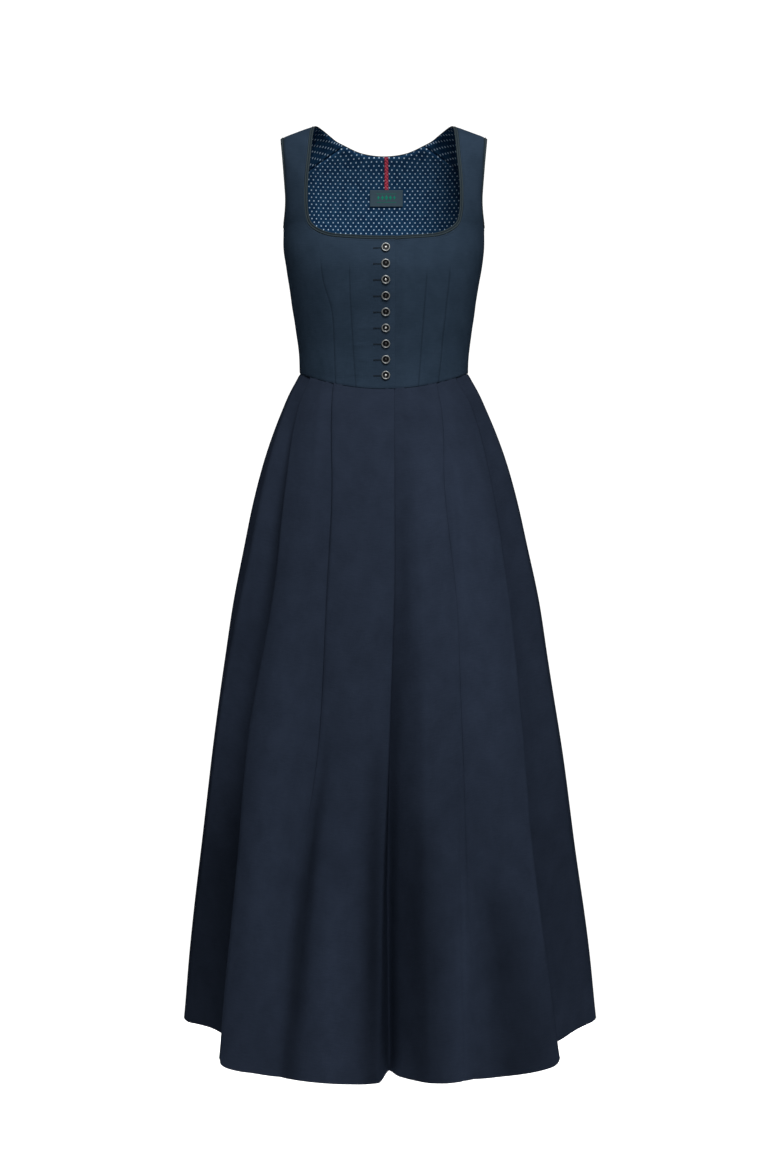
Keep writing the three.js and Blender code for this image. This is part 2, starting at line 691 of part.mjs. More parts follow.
// The whole skirt at a height, from the centre back round the front and back again, with the seams where
// its four pieces meet: the centre back, the sides, and the root of the front opening's pleat.
function skirtRing(down) {
  const ring = [seamPoint(-180, down)];
  const seams = [{ at: 0, gap: seamGap }];
  let from = -180;
  for (const pleat of pleats) {
    const { points, from: start, to } = pleatAt(pleat, down);
    for (const side of [-90, 90])
      if (from < side && start > side) {
        ring.push(...panelAt(from, side, down));
        seams.push({ at: ring.push(seamPoint(side, down)) - 1, gap: seamGap });
        from = side;
      }
    ring.push(...panelAt(from, start, down));
    if (pleat.name === "front_opening") seams.push({ at: ring.length + rootPoint, gap: bentSeamGap });
    ring.push(...points);
    from = to;
  }
  ring.push(...panelAt(from, 180, down));
  seams.push({ at: ring.push(seamPoint(180, down)) - 1, gap: seamGap });
  return { ring, seams };
}

// ---------------------------------------------------------------- skirt pieces

const rings = skirtRows.map(skirtRing);

// The skirt's outward direction at a point of the grid.
function skirtNormal(i, j) {
  const end = rings[j].ring.length - 1;
  const before = i === 0 ? end - 1 : i - 1;
  const after = i === end ? 1 : i + 1;
  const above = rings[Math.max(0, j - 1)].ring[i];
  const below = rings[Math.min(rings.length - 1, j + 1)].ring[i];
  const round = rings[j].ring[after].clone().sub(rings[j].ring[before]);
  return round.cross(above.clone().sub(below)).normalize();
}

// A piece of the skirt between two of the seams, half a gap short of each.
function skirtPiece(first) {
  const sheet = rings.map(({ ring, seams }, j) => {
    const [start, end] = [seams[first], seams[first + 1]];
    const row = range(end.at - start.at + 1).map((i) => ({
      point: ring[start.at + i].clone(),
      normal: skirtNormal(start.at + i, j),
    }));
    const pull = (a, b, gap) =>
      row[a].point.add(row[b].point.clone().sub(row[a].point).setLength(gap / 2));
    pull(0, 1, start.gap);
    pull(row.length - 1, row.length - 2, end.gap);
    return row;
  });
  return wall([sheet], midCloth, -midCloth);
}

["skirt_back_right", "skirt_front_right", "skirt_front_left", "skirt_back_left"].forEach((name, i) =>
  addNode(name, skirtPiece(i), skirtColour),
);

export default dress;
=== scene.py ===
"""The looks of a sleeveless dirndl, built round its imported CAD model, which is the frame.

The cloth is modelled in millimetres on the same form as the CAD solids, and put into metres when a mesh
is made. +Z is up, the front faces -Y and the wearer's right is -X. A place on the bodice is told by
across, the angle round the section, and along, which runs up the front (negative), over the shoulder
and down the back. A place on the skirt is told by its angle round the skirt and by down, the share of
the way from the waist seam to the hem.
"""

import math

import bpy
import numpy as np
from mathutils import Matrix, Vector
from mathutils.kdtree import KDTree


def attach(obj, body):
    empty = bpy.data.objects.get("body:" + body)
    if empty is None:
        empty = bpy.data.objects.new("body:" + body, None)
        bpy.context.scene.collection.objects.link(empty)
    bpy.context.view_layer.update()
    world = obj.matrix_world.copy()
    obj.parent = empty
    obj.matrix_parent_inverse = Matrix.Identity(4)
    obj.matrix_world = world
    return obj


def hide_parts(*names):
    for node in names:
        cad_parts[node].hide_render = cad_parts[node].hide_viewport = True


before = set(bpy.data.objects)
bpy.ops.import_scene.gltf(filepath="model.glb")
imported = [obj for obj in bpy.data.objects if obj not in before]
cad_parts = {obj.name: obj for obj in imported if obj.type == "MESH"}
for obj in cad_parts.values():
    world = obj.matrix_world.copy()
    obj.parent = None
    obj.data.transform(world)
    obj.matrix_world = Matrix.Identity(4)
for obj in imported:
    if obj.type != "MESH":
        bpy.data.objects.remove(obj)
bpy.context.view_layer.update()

MM = 0.001  # metres in a millimetre

# ---- the form's driving dimensions, in mm

ARMHOLE_DROP = 148
WAIST_DROP_SIDE = 366
WAIST_DIP_FRONT = 23
WAIST_DIP_BACK = 5
HEM_DROP = 1356
WAIST_GAP = 0.3
SEAM_GAP = 0.3

OVERLAP_HALF = 16
OVERLAP_CLEAR = 1.5
OVERLAP_EASE = 14

CLOTH = 0.9  # thickness of the outer cloth
LINING = 0.7
LINING_DEPTH = 1.5  # the lining's outer face, under the form
WALL = LINING_DEPTH + LINING
OVERLAP_DEPTH = WALL + 0.2  # the left front lies this far under the right front
OVERLAP_END = OVERLAP_HALF + OVERLAP_CLEAR + OVERLAP_EASE

BODICE_COLUMNS = ("drop", "half_width", "front", "back", "power")
BODICE_SECTIONS = (
    (148, 149.2, 116, 112, 0.75),
    (183, 148.6, 124, 110, 0.75),
    (211, 145.0, 127, 107, 0.76),
    (241, 140.2, 122, 103, 0.78),
    (286, 133.5, 110, 97, 0.84),
    (331, 127.3, 99, 93, 0.92),
    (366, 125.5, 95, 92, 0.95),
    (394, 125.5, 95, 92, 0.95),
)
SHOULDER_SLOPE = 0.39
SHOULDER_ROUND = 60
NECK_POINT_X = 100
WIDEN_LOW = 1.7
WIDEN_HIGH = 11
WIDEN_SHARE = 0.45

NECKLINE_ROWS = (  # [x, along]
    (0, -175.6),
    (57.5, -172.7),
    (84.5, -168.3),
    (104.3, -157.6),
    (113.2, -144.5),
    (116.1, -127),
    (115.2, -103),
    (111.8, -73),
    (108.8, -28),
    (105.6, 1),
    (97.2, 26.3),
    (84, 47.6),
    (69, 61.8),
    (37.5, 77.9),
    (0, 83.4),
)
CORNER_ROW = 3
SEAM_ROW = 12.2
CENTRE_BACK_ROW = len(NECKLINE_ROWS) - 1

ARMHOLE_BOTTOM = 153.3
ARMHOLE_RISE = 40
ARMHOLE_INSET = 19.8
ARMHOLE_INSET_TOP = 4.4
STRAP_FOOT = 140
ARMHOLE_SEAM = 104
SIDE_GAP = 0.012  # the gap grows with the form's depth, fivefold at the armholes
SIDE_EDGE = 90 - math.degrees(math.asin(SIDE_GAP / 2 / BODICE_SECTIONS[0][2]))

SKIRT_COLUMNS = ("down", "half_width")
SKIRT_SECTIONS = (
    (0.0, 125.5),
    (0.039, 146.3),
    (0.115, 174.7),
    (0.191, 196),
    (0.268, 212.4),
    (0.343, 227),
    (0.42, 238.2),
    (0.574, 259.9),
    (0.728, 278.1),
    (0.884, 296.8),
    (1.0, 308.0),
)
HEM_FRONT = 306
HEM_BACK = 292
HEM_POWER = 0.68
HEM_SWAY = 9
HEM_RISE = 9  # how much higher the hem is at the sides

EDGE_HEIGHTS = (0, 0.05, 0.15, 0.3, 0.5, 0.7, 1)
PLEATS = (
    dict(name="back_right_inner", edge=(-150, -150, -151, -150, -151, -152, -153), faces=1,
         tuck=15, root=(12, 32), rise=(44, 20), landing=(9, 16), open_by=1, curl=4),
    dict(name="back_right_outer", edge=(-117, -119, -121, -124, -124, -125, -124), faces=1,
         tuck=16, root=(24, 62), rise=(112, 52), landing=(14, 27), open_by=1, curl=8),
    dict(name="front_right_outer", edge=(-60, -58.5, -51, -47, -52, -52, -53), faces=-1,
         tuck=16, root=(32, 80), rise=(128, 98), landing=(16, 36), open_by=1, curl=0),
    dict(name="front_right_inner", edge=(-36, -30, -23.7, -21.5, -20.7, -24, -26.8), faces=-1,
         tuck=14, root=(12, 5), rise=(26, 4), landing=(9, 12), open_by=0.7, curl=0),
    dict(name="front_opening", edge=(7, 6, 4.7, 4, 2, 0.1, -1.2), faces=1,
         tuck=14, root=(13, 66), rise=(28, 34), landing=(9, 12.5), open_by=1, curl=2),
    dict(name="front_left_inner", edge=(38, 34, 28, 27.4, 25.3, 23.6, 21.5), faces=1,
         tuck=14, root=(12, 4), rise=(26, 3), landing=(8, 11), open_by=0.8, curl=0),
    dict(name="front_left_outer", edge=(57.5, 62.5, 59.5, 56.3, 54, 52, 55.5), faces=1,
         tuck=16, root=(10, 44), rise=(104, 48), landing=(18, 33.5), open_by=1, curl=26),
    dict(name="back_left_outer", edge=(117, 118, 121, 122, 123, 123, 122), faces=-1,
         tuck=16, root=(22, 58), rise=(106, 50), landing=(14, 25), open_by=1, curl=8),
    dict(name="back_left_inner", edge=(149, 150, 150, 149, 151, 153, 152), faces=-1,
         tuck=15, root=(10, 24), rise=(42, 14), landing=(9, 16), open_by=1, curl=4),
)
FOLD_STEP = 2
RISE_CLEAR = 2.6
EDGE_ROUND_HEM = 12
ROOT_ROUND_HEM = 16
OPEN_POWER = 0.9
PANEL_SWELL = 6
PANEL_POINTS = 6
ROOT_POINT = 4

# Soft hollows down the front of the skirt: where the middle is at each drop, how deep it is, and how far
# it reaches to the wearer's right and left.
HOLLOW_COLUMNS = ("drop", "x", "depth", "right", "left")
HOLLOWS = (
    ((850, -80, 0, 12, 8), (905, -86, 4, 12, 8), (1033, -103, 12, 13, 9), (1167, -116, 14, 14, 11),
     (1265, -124, 10, 13, 13), (1335, -130, 0, 13, 13)),
    ((470, 12, 0, 25, 20), (576, 20, 4, 25, 14), (691, 23, 6, 25, 12), (828, 16, 7, 28, 25),
     (951, 7, 14, 30, 50), (1073, 2, 24, 30, 55), (1200, 1, 24, 28, 55), (1300, 0, 12, 22, 45),
     (1350, 0, 0, 20, 40)),
    ((980, 128, 0, 14, 18), (1033, 132, 6, 14, 18), (1167, 148, 9, 15, 20), (1245, 168, 5, 16, 20),
     (1320, 176, 0, 16, 20)),
    ((470, 92, 0, 10, 10), (576, 101, 4, 9, 7), (691, 101, 4, 9, 7), (790, 105, 0, 9, 7)),
)

# Painted shade in the wool's colour, from 0 (full colour) to 1 (black): the folds' hollows are painted
# darker as shade, and a fold that stands proud is painted lighter than the rest. Each row of a strip is its
# drop, the strip's middle, how much painted shade it adds, and how far it reaches to the wearer's right and
# left.
SHADE_COLUMNS = ("drop", "x", "shade", "right", "left")
# Painted shade over the whole skirt, so that a fold that stands proud can be painted lighter.
MEAN_SHADE = 0.167
SHADE_END = 20  # how far past its last drop a strip goes on
SHADES = (
    ((930, -88, 0, 10, 10), (1015, -100, 0.25, 10, 10), (1162, -119, 0.4, 12, 12),
     (1283, -128, 0.4, 13, 13), (1356, -133, 0.35, 14, 14)),
    ((850, -8, 0, 14, 10), (1015, -12, 0.3, 14, 12), (1162, -14, 0.45, 16, 12), (1283, -16, 0.4, 18, 14),
     (1356, -16, 0.35, 18, 14)),
    ((950, 45, 0, 20, 30), (1015, 50, 0.2, 22, 26), (1162, 52, 0.35, 28, 34), (1283, 55, 0.35, 32, 30),
     (1356, 55, 0.35, 32, 30)),
    ((1060, 150, 0, 14, 20), (1162, 160, 0.3, 20, 50), (1283, 180, 0.35, 32, 60), (1356, 185, 0.4, 36, 60)),
    ((650, -135, 0, 25, 25), (811, -142, -0.16, 35, 30), (1015, -158, -0.16, 34, 30),
     (1162, -168, -0.16, 34, 28), (1283, -150, -0.05, 30, 24)),
    ((1060, -72, 0, 14, 14), (1162, -74, -0.16, 14, 18), (1283, -76, -0.16, 18, 20),
     (1356, -78, -0.1, 18, 20)),
    ((430, 60, 0, 20, 40), (520, 90, -0.16, 50, 60), (811, 165, -0.16, 90, 60), (950, 190, -0.1, 50, 50),
     (1060, 215, -0.1, 25, 25), (1162, 222, -0.16, 14, 18), (1283, 225, 0, 14, 18)),
    ((1060, 112, 0, 12, 12), (1162, 114, -0.15, 14, 10), (1283, 110, -0.15, 14, 12),
     (1356, 110, -0.1, 14, 12)),
)
# Painted shade on the skirt's sides below the front, deeper on the wearer's right than on the left.
SIDE_SHADE_RIGHT = 0.45
SIDE_SHADE_LEFT = 0.15

# Where the hem's corners are rounded: x, y, the reach both ways and the height.
HEM_CORNERS = (
    (-236, -216, 14, 30, 10),
    (252, -221, 14, 30, 10),
    (-304, -12, 10, 80, 7),
    (322, -12, 10, 80, 7),
)
HEM_CORNER_RUN = 20  # how far up the skirt a corner's rounding reaches

# Lengths that set how many points a line of the bodice gets.
BODICE_RUN = 205
BOTTOM_RUN = 72
STRAP_RUN = 36
FOOT_RUN = 22
SHOULDER_RUN = 46
BACK_NECK_RUN = 75
ARM_RUN = 43

# Seams inside the bodice: darts from the tip down, as [x, drop].
DARTS_RIGHT = (
    ((-50, 197), (-46.5, 290), (-40, 394)),
    ((-92.5, 192), (-87, 235), (-75, 277), (-71.8, 342), (-70.5, 394)),
)
DARTS_LEFT = (((63.8, 206), (57.5, 290), (50, 394)), ((98, 200), (89, 290), (78.5, 394)))
DARTS_BACK = (
    ((-49, 150), (-46, 260), (-39, 394)),
    ((49, 150), (46, 260), (39, 394)),
    ((-96, 160), (-86, 270), (-70, 394)),
    ((96, 160), (86, 270), (70, 394)),
)
DART_FADE = 22  # length over which a dart fades out at its tip
DART_DEPTH = 0.4
DART_WIDTH = 1.5
DART_SWELL = 0.048  # how full the cloth stands beside a dart
DART_SWELL_WIDTH = 6
DART_THINNING = 20  # how much thinner a dart's painted line of crease shade is at its tip
FAR = 100  # a distance that means no dart is near

# Creases that run level from the buttons: where their middle is, their reach, height and slope.
PULLS = (
    (-34, 326, 16, 0.5, 0.03),
    (-30, 347, 14, 0.3, -0.04),
    (-26, 301, 13, 0.3, 0.05),
    (-40, 368, 16, 0.35, -0.02),
)
PULL_WIDTH = 2.6
PULL_Y = -40  # the creases are in front of this
STITCH_IN = 2.2  # how far the topstitching lies from the piping

# ---- numbers


def mix(a, b, share):
    return a + (b - a) * share


def smooth(v):
    v = np.clip(v, 0, 1)
    return v * v * (3 - 2 * v)


def quarter(v):
    """A quarter of a circle, from 0 to 1."""
    return np.sqrt(1 - (1 - np.clip(v, 0, 1)) ** 2)


def bell(v):
    return np.exp(-v * v)


def unit(v):
    return v / np.maximum(np.linalg.norm(v, axis=-1, keepdims=True), 1e-12)


def sind(a):
    return np.sin(np.radians(a))


def cosd(a):
    return np.cos(np.radians(a))


def curve_at(stations, values, at):
    """The values at places along rising stations, on a smooth curve through all of them."""
    x = np.asarray(stations, float)
    v = np.asarray(values, float)
    slopes = np.empty(len(x))
    slopes[1:-1] = (v[2:] - v[:-2]) / (x[2:] - x[:-2])
    slopes[0] = (v[1] - v[0]) / (x[1] - x[0])
    slopes[-1] = (v[-1] - v[-2]) / (x[-1] - x[-2])
    at = np.clip(at, x[0], x[-1])
    i = np.clip(np.searchsorted(x, at, side="left") - 1, 0, len(x) - 2)
    span = x[i + 1] - x[i]
    t = (at - x[i]) / span
    rise = v[i + 1] - v[i]
    bend_in = slopes[i] * span - rise
    bend_out = rise - slopes[i + 1] * span
    return v[i] + rise * t + t * (1 - t) * (bend_in * (1 - t) + bend_out * t)


def column_at(rows, columns, key, name, at):
    rows = np.asarray(rows, float)
    return curve_at(rows[:, columns.index(key)], rows[:, columns.index(name)], at)


def graded(length, fine, coarse, growth=1.35):
    """Shares from 0 to 1 whose steps grow from fine at both ends to coarse in the middle."""
    half = []
    step = fine
    while step < coarse and sum(half) + step < length / 2:
        half.append(step)
        step *= growth
    middle = length - 2 * sum(half)
    count = max(1, round(middle / coarse))
    steps = half + [middle / count] * count + half[::-1]
    return np.concatenate([[0], np.cumsum(steps)]) / sum(steps)


# ---- the bodice's form


def bodice_column(name, drop):
    return column_at(BODICE_SECTIONS, BODICE_COLUMNS, "drop", name, drop)


def shoulder_z(x):
    return -SHOULDER_SLOPE * (np.hypot(x, SHOULDER_ROUND) - math.hypot(NECK_POINT_X, SHOULDER_ROUND))


def waist_drop(across, is_front):
    dip = np.where(is_front, WAIST_DIP_FRONT, WAIST_DIP_BACK)
    return WAIST_DROP_SIDE + dip * cosd(across) ** 2


def share_up(along):
    return np.clip(1 - np.abs(along) / ARMHOLE_DROP, 0, 1)


def bodice_half_width(along):
    up = share_up(along)
    low = bodice_column("half_width", np.abs(along))
    high = BODICE_SECTIONS[0][1] + WIDEN_LOW * quarter(up / WIDEN_SHARE) + WIDEN_HIGH * smooth(up)
    return np.where(up <= 0, low, high)


def bodice_point(across, along):
    across, along = np.broadcast_arrays(np.asarray(across, float), np.asarray(along, float))
    is_front = along < 0
    drop = np.abs(along)
    depth = np.where(is_front, bodice_column("front", drop), bodice_column("back", drop))
    x = bodice_half_width(along) * sind(across)
    y = np.where(is_front, -1, 1) * depth * np.maximum(0, cosd(across)) ** bodice_column("power", drop)
    turn = share_up(along) * math.pi / 2
    arch = mix(-ARMHOLE_DROP, shoulder_z(x), np.sin(turn))
    z = np.where(turn > 0, arch, -drop)
    return np.stack([x, y * np.cos(turn), z], axis=-1)


def bodice_normal(across, along):
    """The form's outward direction."""
    across_step = np.where(across > 0, -1.0, 1.0)
    along_step = np.where(along > 0, -1.0, 1.0)
    here = bodice_point(across, along)
    sideways = (bodice_point(across + across_step, along) - here) * across_step[..., None]
    onwards = (bodice_point(across, along + along_step) - here) * along_step[..., None]
    return unit(np.cross(sideways, onwards))


def across_at(x, along):
    return np.degrees(np.arcsin(np.clip(x / bodice_half_width(along), -1, 1)))


def along_at_drop(drop, x):
    """The size of along for a drop above the armholes' feet."""
    lift = (ARMHOLE_DROP - drop) / (ARMHOLE_DROP + shoulder_z(x))
    return ARMHOLE_DROP * (1 - np.degrees(np.arcsin(lift)) / 90)


# A line of places is an array of rows of [across, along].


def neckline(row):
    """The neckline at row numbers, which may lie between rows. It runs level through both centres."""
    row = np.asarray(row, float)
    table = np.asarray(NECKLINE_ROWS, float)
    table = np.concatenate([table[1:2] * [-1, 1], table, table[-2:-1] * [-1, 1]])
    stations = np.arange(len(table)) - 1
    x = np.sign(row) * curve_at(stations, table[:, 0], np.abs(row))
    along = curve_at(stations, table[:, 1], np.abs(row))
    return np.stack([across_at(x, along), along], axis=-1)


def armhole(along):
    along = np.asarray(along, float)
    foot = quarter((ARMHOLE_BOTTOM - np.abs(along)) / ARMHOLE_RISE)
    above = smooth(1 - np.abs(along) / (ARMHOLE_BOTTOM - ARMHOLE_RISE))
    return np.stack([90 - ARMHOLE_INSET * foot - ARMHOLE_INSET_TOP * above, along], axis=-1)


def steps(count, start, end):
    return np.linspace(start, end, count + 1)


def join(*lines):
    return np.concatenate([lines[0]] + [each[1:] for each in lines[1:]])


def between(first, last, shares):
    """A block of places: one row for each share of the way from one line to another."""
    return mix(first[None], last[None], np.asarray(shares)[:, None, None])


def mirrored(places):
    return places * [-1, 1]


# ---- meshes


def in_scene(obj):
    bpy.context.scene.collection.objects.link(obj)
    return obj


def mesh_object(name, points, faces, coordinates):
    """A smooth mesh from points in millimetres, with its places in the flat cloth, riding on the dress."""
    mesh = bpy.data.meshes.new(name)
    mesh.from_pydata((np.asarray(points) * MM).tolist(), [], faces)
    mesh.validate()
    mesh.shade_smooth()
    layer = mesh.attributes.new("cloth", "FLOAT_VECTOR", "POINT")
    layer.data.foreach_set("vector", (np.asarray(coordinates) * MM).astype(np.float32).ravel())
    obj = in_scene(bpy.data.objects.new(name, mesh))
    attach(obj, "root")
    return obj


def quads(at):
    """Faces between neighbours in a grid of point numbers, which may be one of many."""
    corners = (at[..., :-1, :-1], at[..., :-1, 1:], at[..., 1:, 1:], at[..., 1:, :-1])
    return np.stack(corners, axis=-1).reshape(-1, 4)


WELD_STEPS = 50  # points of a shell in the same step, of so many to the millimetre, are one


def shell(name, blocks, outer, inner):
    """A closed wall from blocks of dict(point, normal, cloth): two faces along the normals, and a rim.

    outer and inner are distances along the normal, or names of arrays that the blocks hold."""
    known = {}
    sheet = {key: [] for key in ("outer", "inner", "cloth")}
    faces = []
    for block in blocks:
        shape = block["point"].shape[:2]
        far = block[outer] if isinstance(outer, str) else np.full(shape, float(outer))
        near = block[inner] if isinstance(inner, str) else np.full(shape, float(inner))
        places = dict(
            outer=(block["point"] + block["normal"] * far[..., None]).reshape(-1, 3),
            inner=(block["point"] + block["normal"] * near[..., None]).reshape(-1, 3),
            cloth=block["cloth"].reshape(-1, 3),
        )
        keys = np.round(block["point"].reshape(-1, 3) * WELD_STEPS).astype(int)
        numbers = np.empty(len(keys), int)
        for i, key in enumerate(map(tuple, keys)):
            if key not in known:
                known[key] = len(known)
                for part, values in places.items():
                    sheet[part].append(values[i])
            numbers[i] = known[key]
        faces.append(quads(numbers.reshape(shape)))
    count = len(known)
    front = [[v for i, v in enumerate(q) if v != q[i - 1]] for q in np.concatenate(faces).tolist()]
    front = [q for q in front if len(set(q)) == len(q) > 2]
    edges = [(q[i - 1], q[i]) for q in front for i in range(len(q))]
    whole = set(edges)
    rim = [(a, b) for a, b in edges if (b, a) not in whole]
    back = [[v + count for v in q[::-1]] for q in front]
    closing = [[b, a, a + count, b + count] for a, b in rim]
    points = np.concatenate([sheet["outer"], sheet["inner"]])
    cloth = np.concatenate([sheet["cloth"], sheet["cloth"]])
    return mesh_object(name, points, front + back + closing, cloth)


def swept(name, stations, section, is_loop=False, mark=None):
    """A bar that carries a section along stations of (point, out, up). The section is rows of [out, up]."""
    point, out, up = stations
    section = np.asarray(section, float)
    size = len(section)
    grid = point[:, None] + out[:, None] * section[None, :, :1] + up[:, None] * section[None, :, 1:]
    count = len(point)
    at = np.arange(count * size).reshape(count, size)
    at = np.concatenate([at, at[:, :1]], axis=1)
    if is_loop:
        at = np.concatenate([at, at[:1]])
    faces = quads(at.T).tolist()
    if not is_loop:
        faces += [at[0, :-1].tolist(), at[-1, -2::-1].tolist()]
    run = lengths(point[None])[0]
    around = lengths(section[None])[0]
    cloth = np.zeros((count, size, 3))
    cloth[..., 0] = run[:, None]
    cloth[..., 1] = around[None]
    if mark is not None:
        cloth[..., 2] = mark
    return mesh_object(name, grid.reshape(-1, 3), faces, cloth.reshape(-1, 3))


def lengths(points):
    """Distances from the first point of each row, along the second axis."""
    gaps = np.linalg.norm(np.diff(points, axis=1), axis=-1)
    return np.concatenate([np.zeros((len(points), 1)), np.cumsum(gaps, axis=1)], axis=1)


# ---- sheets of cloth on the bodice


def overlap_drop(x):
    """How deep the left front lies under the right front."""
    return OVERLAP_DEPTH * smooth((OVERLAP_END - x) / OVERLAP_EASE)


def placed(places, side=1, dips=False):
    """Points and normals of places, on the wearer's right (side -1) or left."""
    places = np.asarray(places, float)
    across, along = places[..., 0], places[..., 1]
    point = bodice_point(across, along)
    normal = bodice_normal(across, along)
    if dips:
        depth = np.where(along < 0, overlap_drop(point[..., 0]), 0)
        point = point - normal * depth[..., None]
    flip = np.array([side, 1, 1])
    return point * flip, normal * flip


# The bodice's cloth laid flat: lengths from the centre and from either waist, over a grid of places.
FLAT_ACROSS = np.linspace(0, 90, 91)
FLAT_ALONG = np.linspace(-400, 400, 801)
FLAT_FORM = bodice_point(*np.meshgrid(FLAT_ACROSS, FLAT_ALONG))
FLAT_SIDEWAYS = lengths(FLAT_FORM)
FLAT_UP = lengths(FLAT_FORM.swapaxes(0, 1)).swapaxes(0, 1)
FLAT_UP_BACK = FLAT_UP[-1] - FLAT_UP


def bilinear(table, row, column):
    row = np.clip(row, 0, table.shape[0] - 1.001)
    column = np.clip(column, 0, table.shape[1] - 1.001)
    j, i = row.astype(int), column.astype(int)
    low = mix(table[j, i], table[j, i + 1], column - i)
    high = mix(table[j + 1, i], table[j + 1, i + 1], column - i)
    return mix(low, high, row - j)


def flat_place(places, side, flat_up=FLAT_UP):
    """Where places of the bodice lie in its flat cloth, with a third number kept for the darts."""
    across, along = places[..., 0], places[..., 1]
    sideways = bilinear(FLAT_SIDEWAYS, along - FLAT_ALONG[0], np.abs(across))
    up = bilinear(flat_up, along - FLAT_ALONG[0], np.abs(across))
    return np.stack([sideways * np.sign(across) * side, up, np.full(across.shape, float(FAR))], axis=-1)


def cloth_block(places, side, dips, flat_up=FLAT_UP):
    point, normal = placed(places, side, dips)
    return dict(point=point, normal=normal, cloth=flat_place(places, side, flat_up))


def even_shares(line_at, spacing):
    """Shares of the way along a line of places that are evenly spaced on the form."""
    dense = np.linspace(0, 1, 500)
    run = lengths(placed(line_at(dense))[0][None])[0]
    return np.interp(np.linspace(0, run[-1], round(run[-1] / spacing) + 1), run, dense)


def armhole_foot(count):
    """Sizes of along on the rounded foot of an armhole, from the strap's foot down to the bottom."""
    foot = np.linspace(quarter((ARMHOLE_BOTTOM - STRAP_FOOT) / ARMHOLE_RISE), 0, count + 1)
    return ARMHOLE_BOTTOM - ARMHOLE_RISE * (1 - np.sqrt(1 - foot * foot))


def front_waist(across):
    return np.stack([across, -(waist_drop(across, True) - WAIST_GAP / 2)], axis=-1)


def back_waist(across):
    return np.stack([across, waist_drop(across, False) - WAIST_GAP / 2], axis=-1)


def strap_neck(share):
    return neckline(mix(CORNER_ROW, SEAM_ROW, share))


def strap_arm(share):
    return armhole(mix(-STRAP_FOOT, ARMHOLE_SEAM, share))


def front_blocks(side, dips, fine, coarse):
    """A front, from its edge past the centre to the side seam, and its strap to the seam behind."""
    rows_per_mm = 1 / NECKLINE_ROWS[1][0]
    inner_shares = graded(OVERLAP_HALF + OVERLAP_END, fine, coarse)
    inner = neckline(mix(-OVERLAP_HALF, OVERLAP_END, inner_shares) * rows_per_mm)
    bottom = neckline(steps(round(BOTTOM_RUN / coarse), OVERLAP_END * rows_per_mm, CORNER_ROW))
    link_shares = graded(STRAP_RUN, fine, coarse)
    link = mix(neckline(CORNER_ROW), armhole(-STRAP_FOOT), link_shares[:, None])
    foot = armhole(-armhole_foot(round(FOOT_RUN / coarse)))
    foot[-1] = (SIDE_EDGE, -ARMHOLE_BOTTOM)
    outer = join(bottom, link, foot)
    inner_x = bodice_point(inner[:, 0], inner[:, 1])[:, 0]
    inner_waist = front_waist(across_at(inner_x, -WAIST_DROP_SIDE))
    knee, knee_at_waist = inner[-1, 0], inner_waist[-1, 0]
    share = (outer[:, 0] - knee) / (SIDE_EDGE - knee)
    outer_waist = front_waist(mix(knee_at_waist, SIDE_EDGE, share))
    body = between(join(inner_waist, outer_waist), join(inner, outer), graded(BODICE_RUN, fine, coarse))
    rows = even_shares(lambda s: mix(strap_neck(s), strap_arm(s), 0.5), coarse)
    strap = mix(strap_neck(rows)[:, None], strap_arm(rows)[:, None], link_shares[None, :, None])
    return [cloth_block(body, side, dips), cloth_block(strap, side, dips)]


def framed(first, last, left, right):
    """A block of places between four lines."""
    u = np.linspace(0, 1, len(first))[None, :, None]
    v = np.linspace(0, 1, len(left))[:, None, None]
    sides = mix(left[:, None], right[:, None], u)
    ends = mix(first[None], last[None], v)
    corners = mix(mix(first[0], first[-1], u), mix(last[0], last[-1], u), v)
    return sides + ends - corners


SHOULDER_GAP = 0.1  # between the back and the straps, in the size of along


def back_blocks(fine, coarse):
    """The back, from side seam to side seam, up to the neckline and the two shoulder seams."""
    past = np.array([0, SHOULDER_GAP])
    foot = armhole(STRAP_FOOT)
    seam_shares = graded(SHOULDER_RUN, fine, coarse)[:, None]
    seam = mix(armhole(ARMHOLE_SEAM), neckline(SEAM_ROW), seam_shares) + past
    neck = neckline(steps(round(BACK_NECK_RUN / coarse), SEAM_ROW, CENTRE_BACK_ROW))
    neck[0] = seam[-1]
    half = join(seam, neck)
    top = join(mirrored(half), half[::-1])
    arm_side = armhole(mix(ARMHOLE_SEAM, STRAP_FOOT, graded(ARM_RUN, fine, coarse)))
    arm_side[0] = arm_side[0] + past
    chest_across = mix(-foot[0], foot[0], (top[:, 0] - top[0, 0]) / (top[-1, 0] - top[0, 0]))
    chest = np.stack([chest_across, np.full(len(top), float(STRAP_FOOT))], axis=-1)
    arm_foot = armhole(armhole_foot(round(FOOT_RUN / coarse)))
    arm_foot[-1] = (SIDE_EDGE, ARMHOLE_BOTTOM)
    under = join(mirrored(arm_foot)[::-1], chest, arm_foot)
    lower = between(back_waist(under[:, 0]), under, graded(BODICE_RUN, fine, coarse))
    upper = framed(top, chest, mirrored(arm_side), arm_side)[::-1]
    return [cloth_block(places, 1, False, FLAT_UP_BACK) for places in (lower, upper)]


# ---- the bodice's seams and creases


def nearest(points, lines):
    """For each point, which point of some lines is nearest, and how far it is."""
    every = np.concatenate(lines)
    tree = KDTree(len(every))
    for i, p in enumerate(every):
        tree.insert(Vector(p), i)
    tree.balance()
    found = [tree.find(Vector(p))[1:] for p in points.reshape(-1, 3)]
    return [np.array(column).reshape(points.shape[:-1]) for column in zip(*found)]


def line_distance(points, lines):
    return nearest(points, lines)[1]


def side_seam(shares, way):
    drops = mix(ARMHOLE_BOTTOM, WAIST_DROP_SIDE, shares)
    return np.stack([np.full(len(shares), SIDE_EDGE), way * drops], axis=-1)


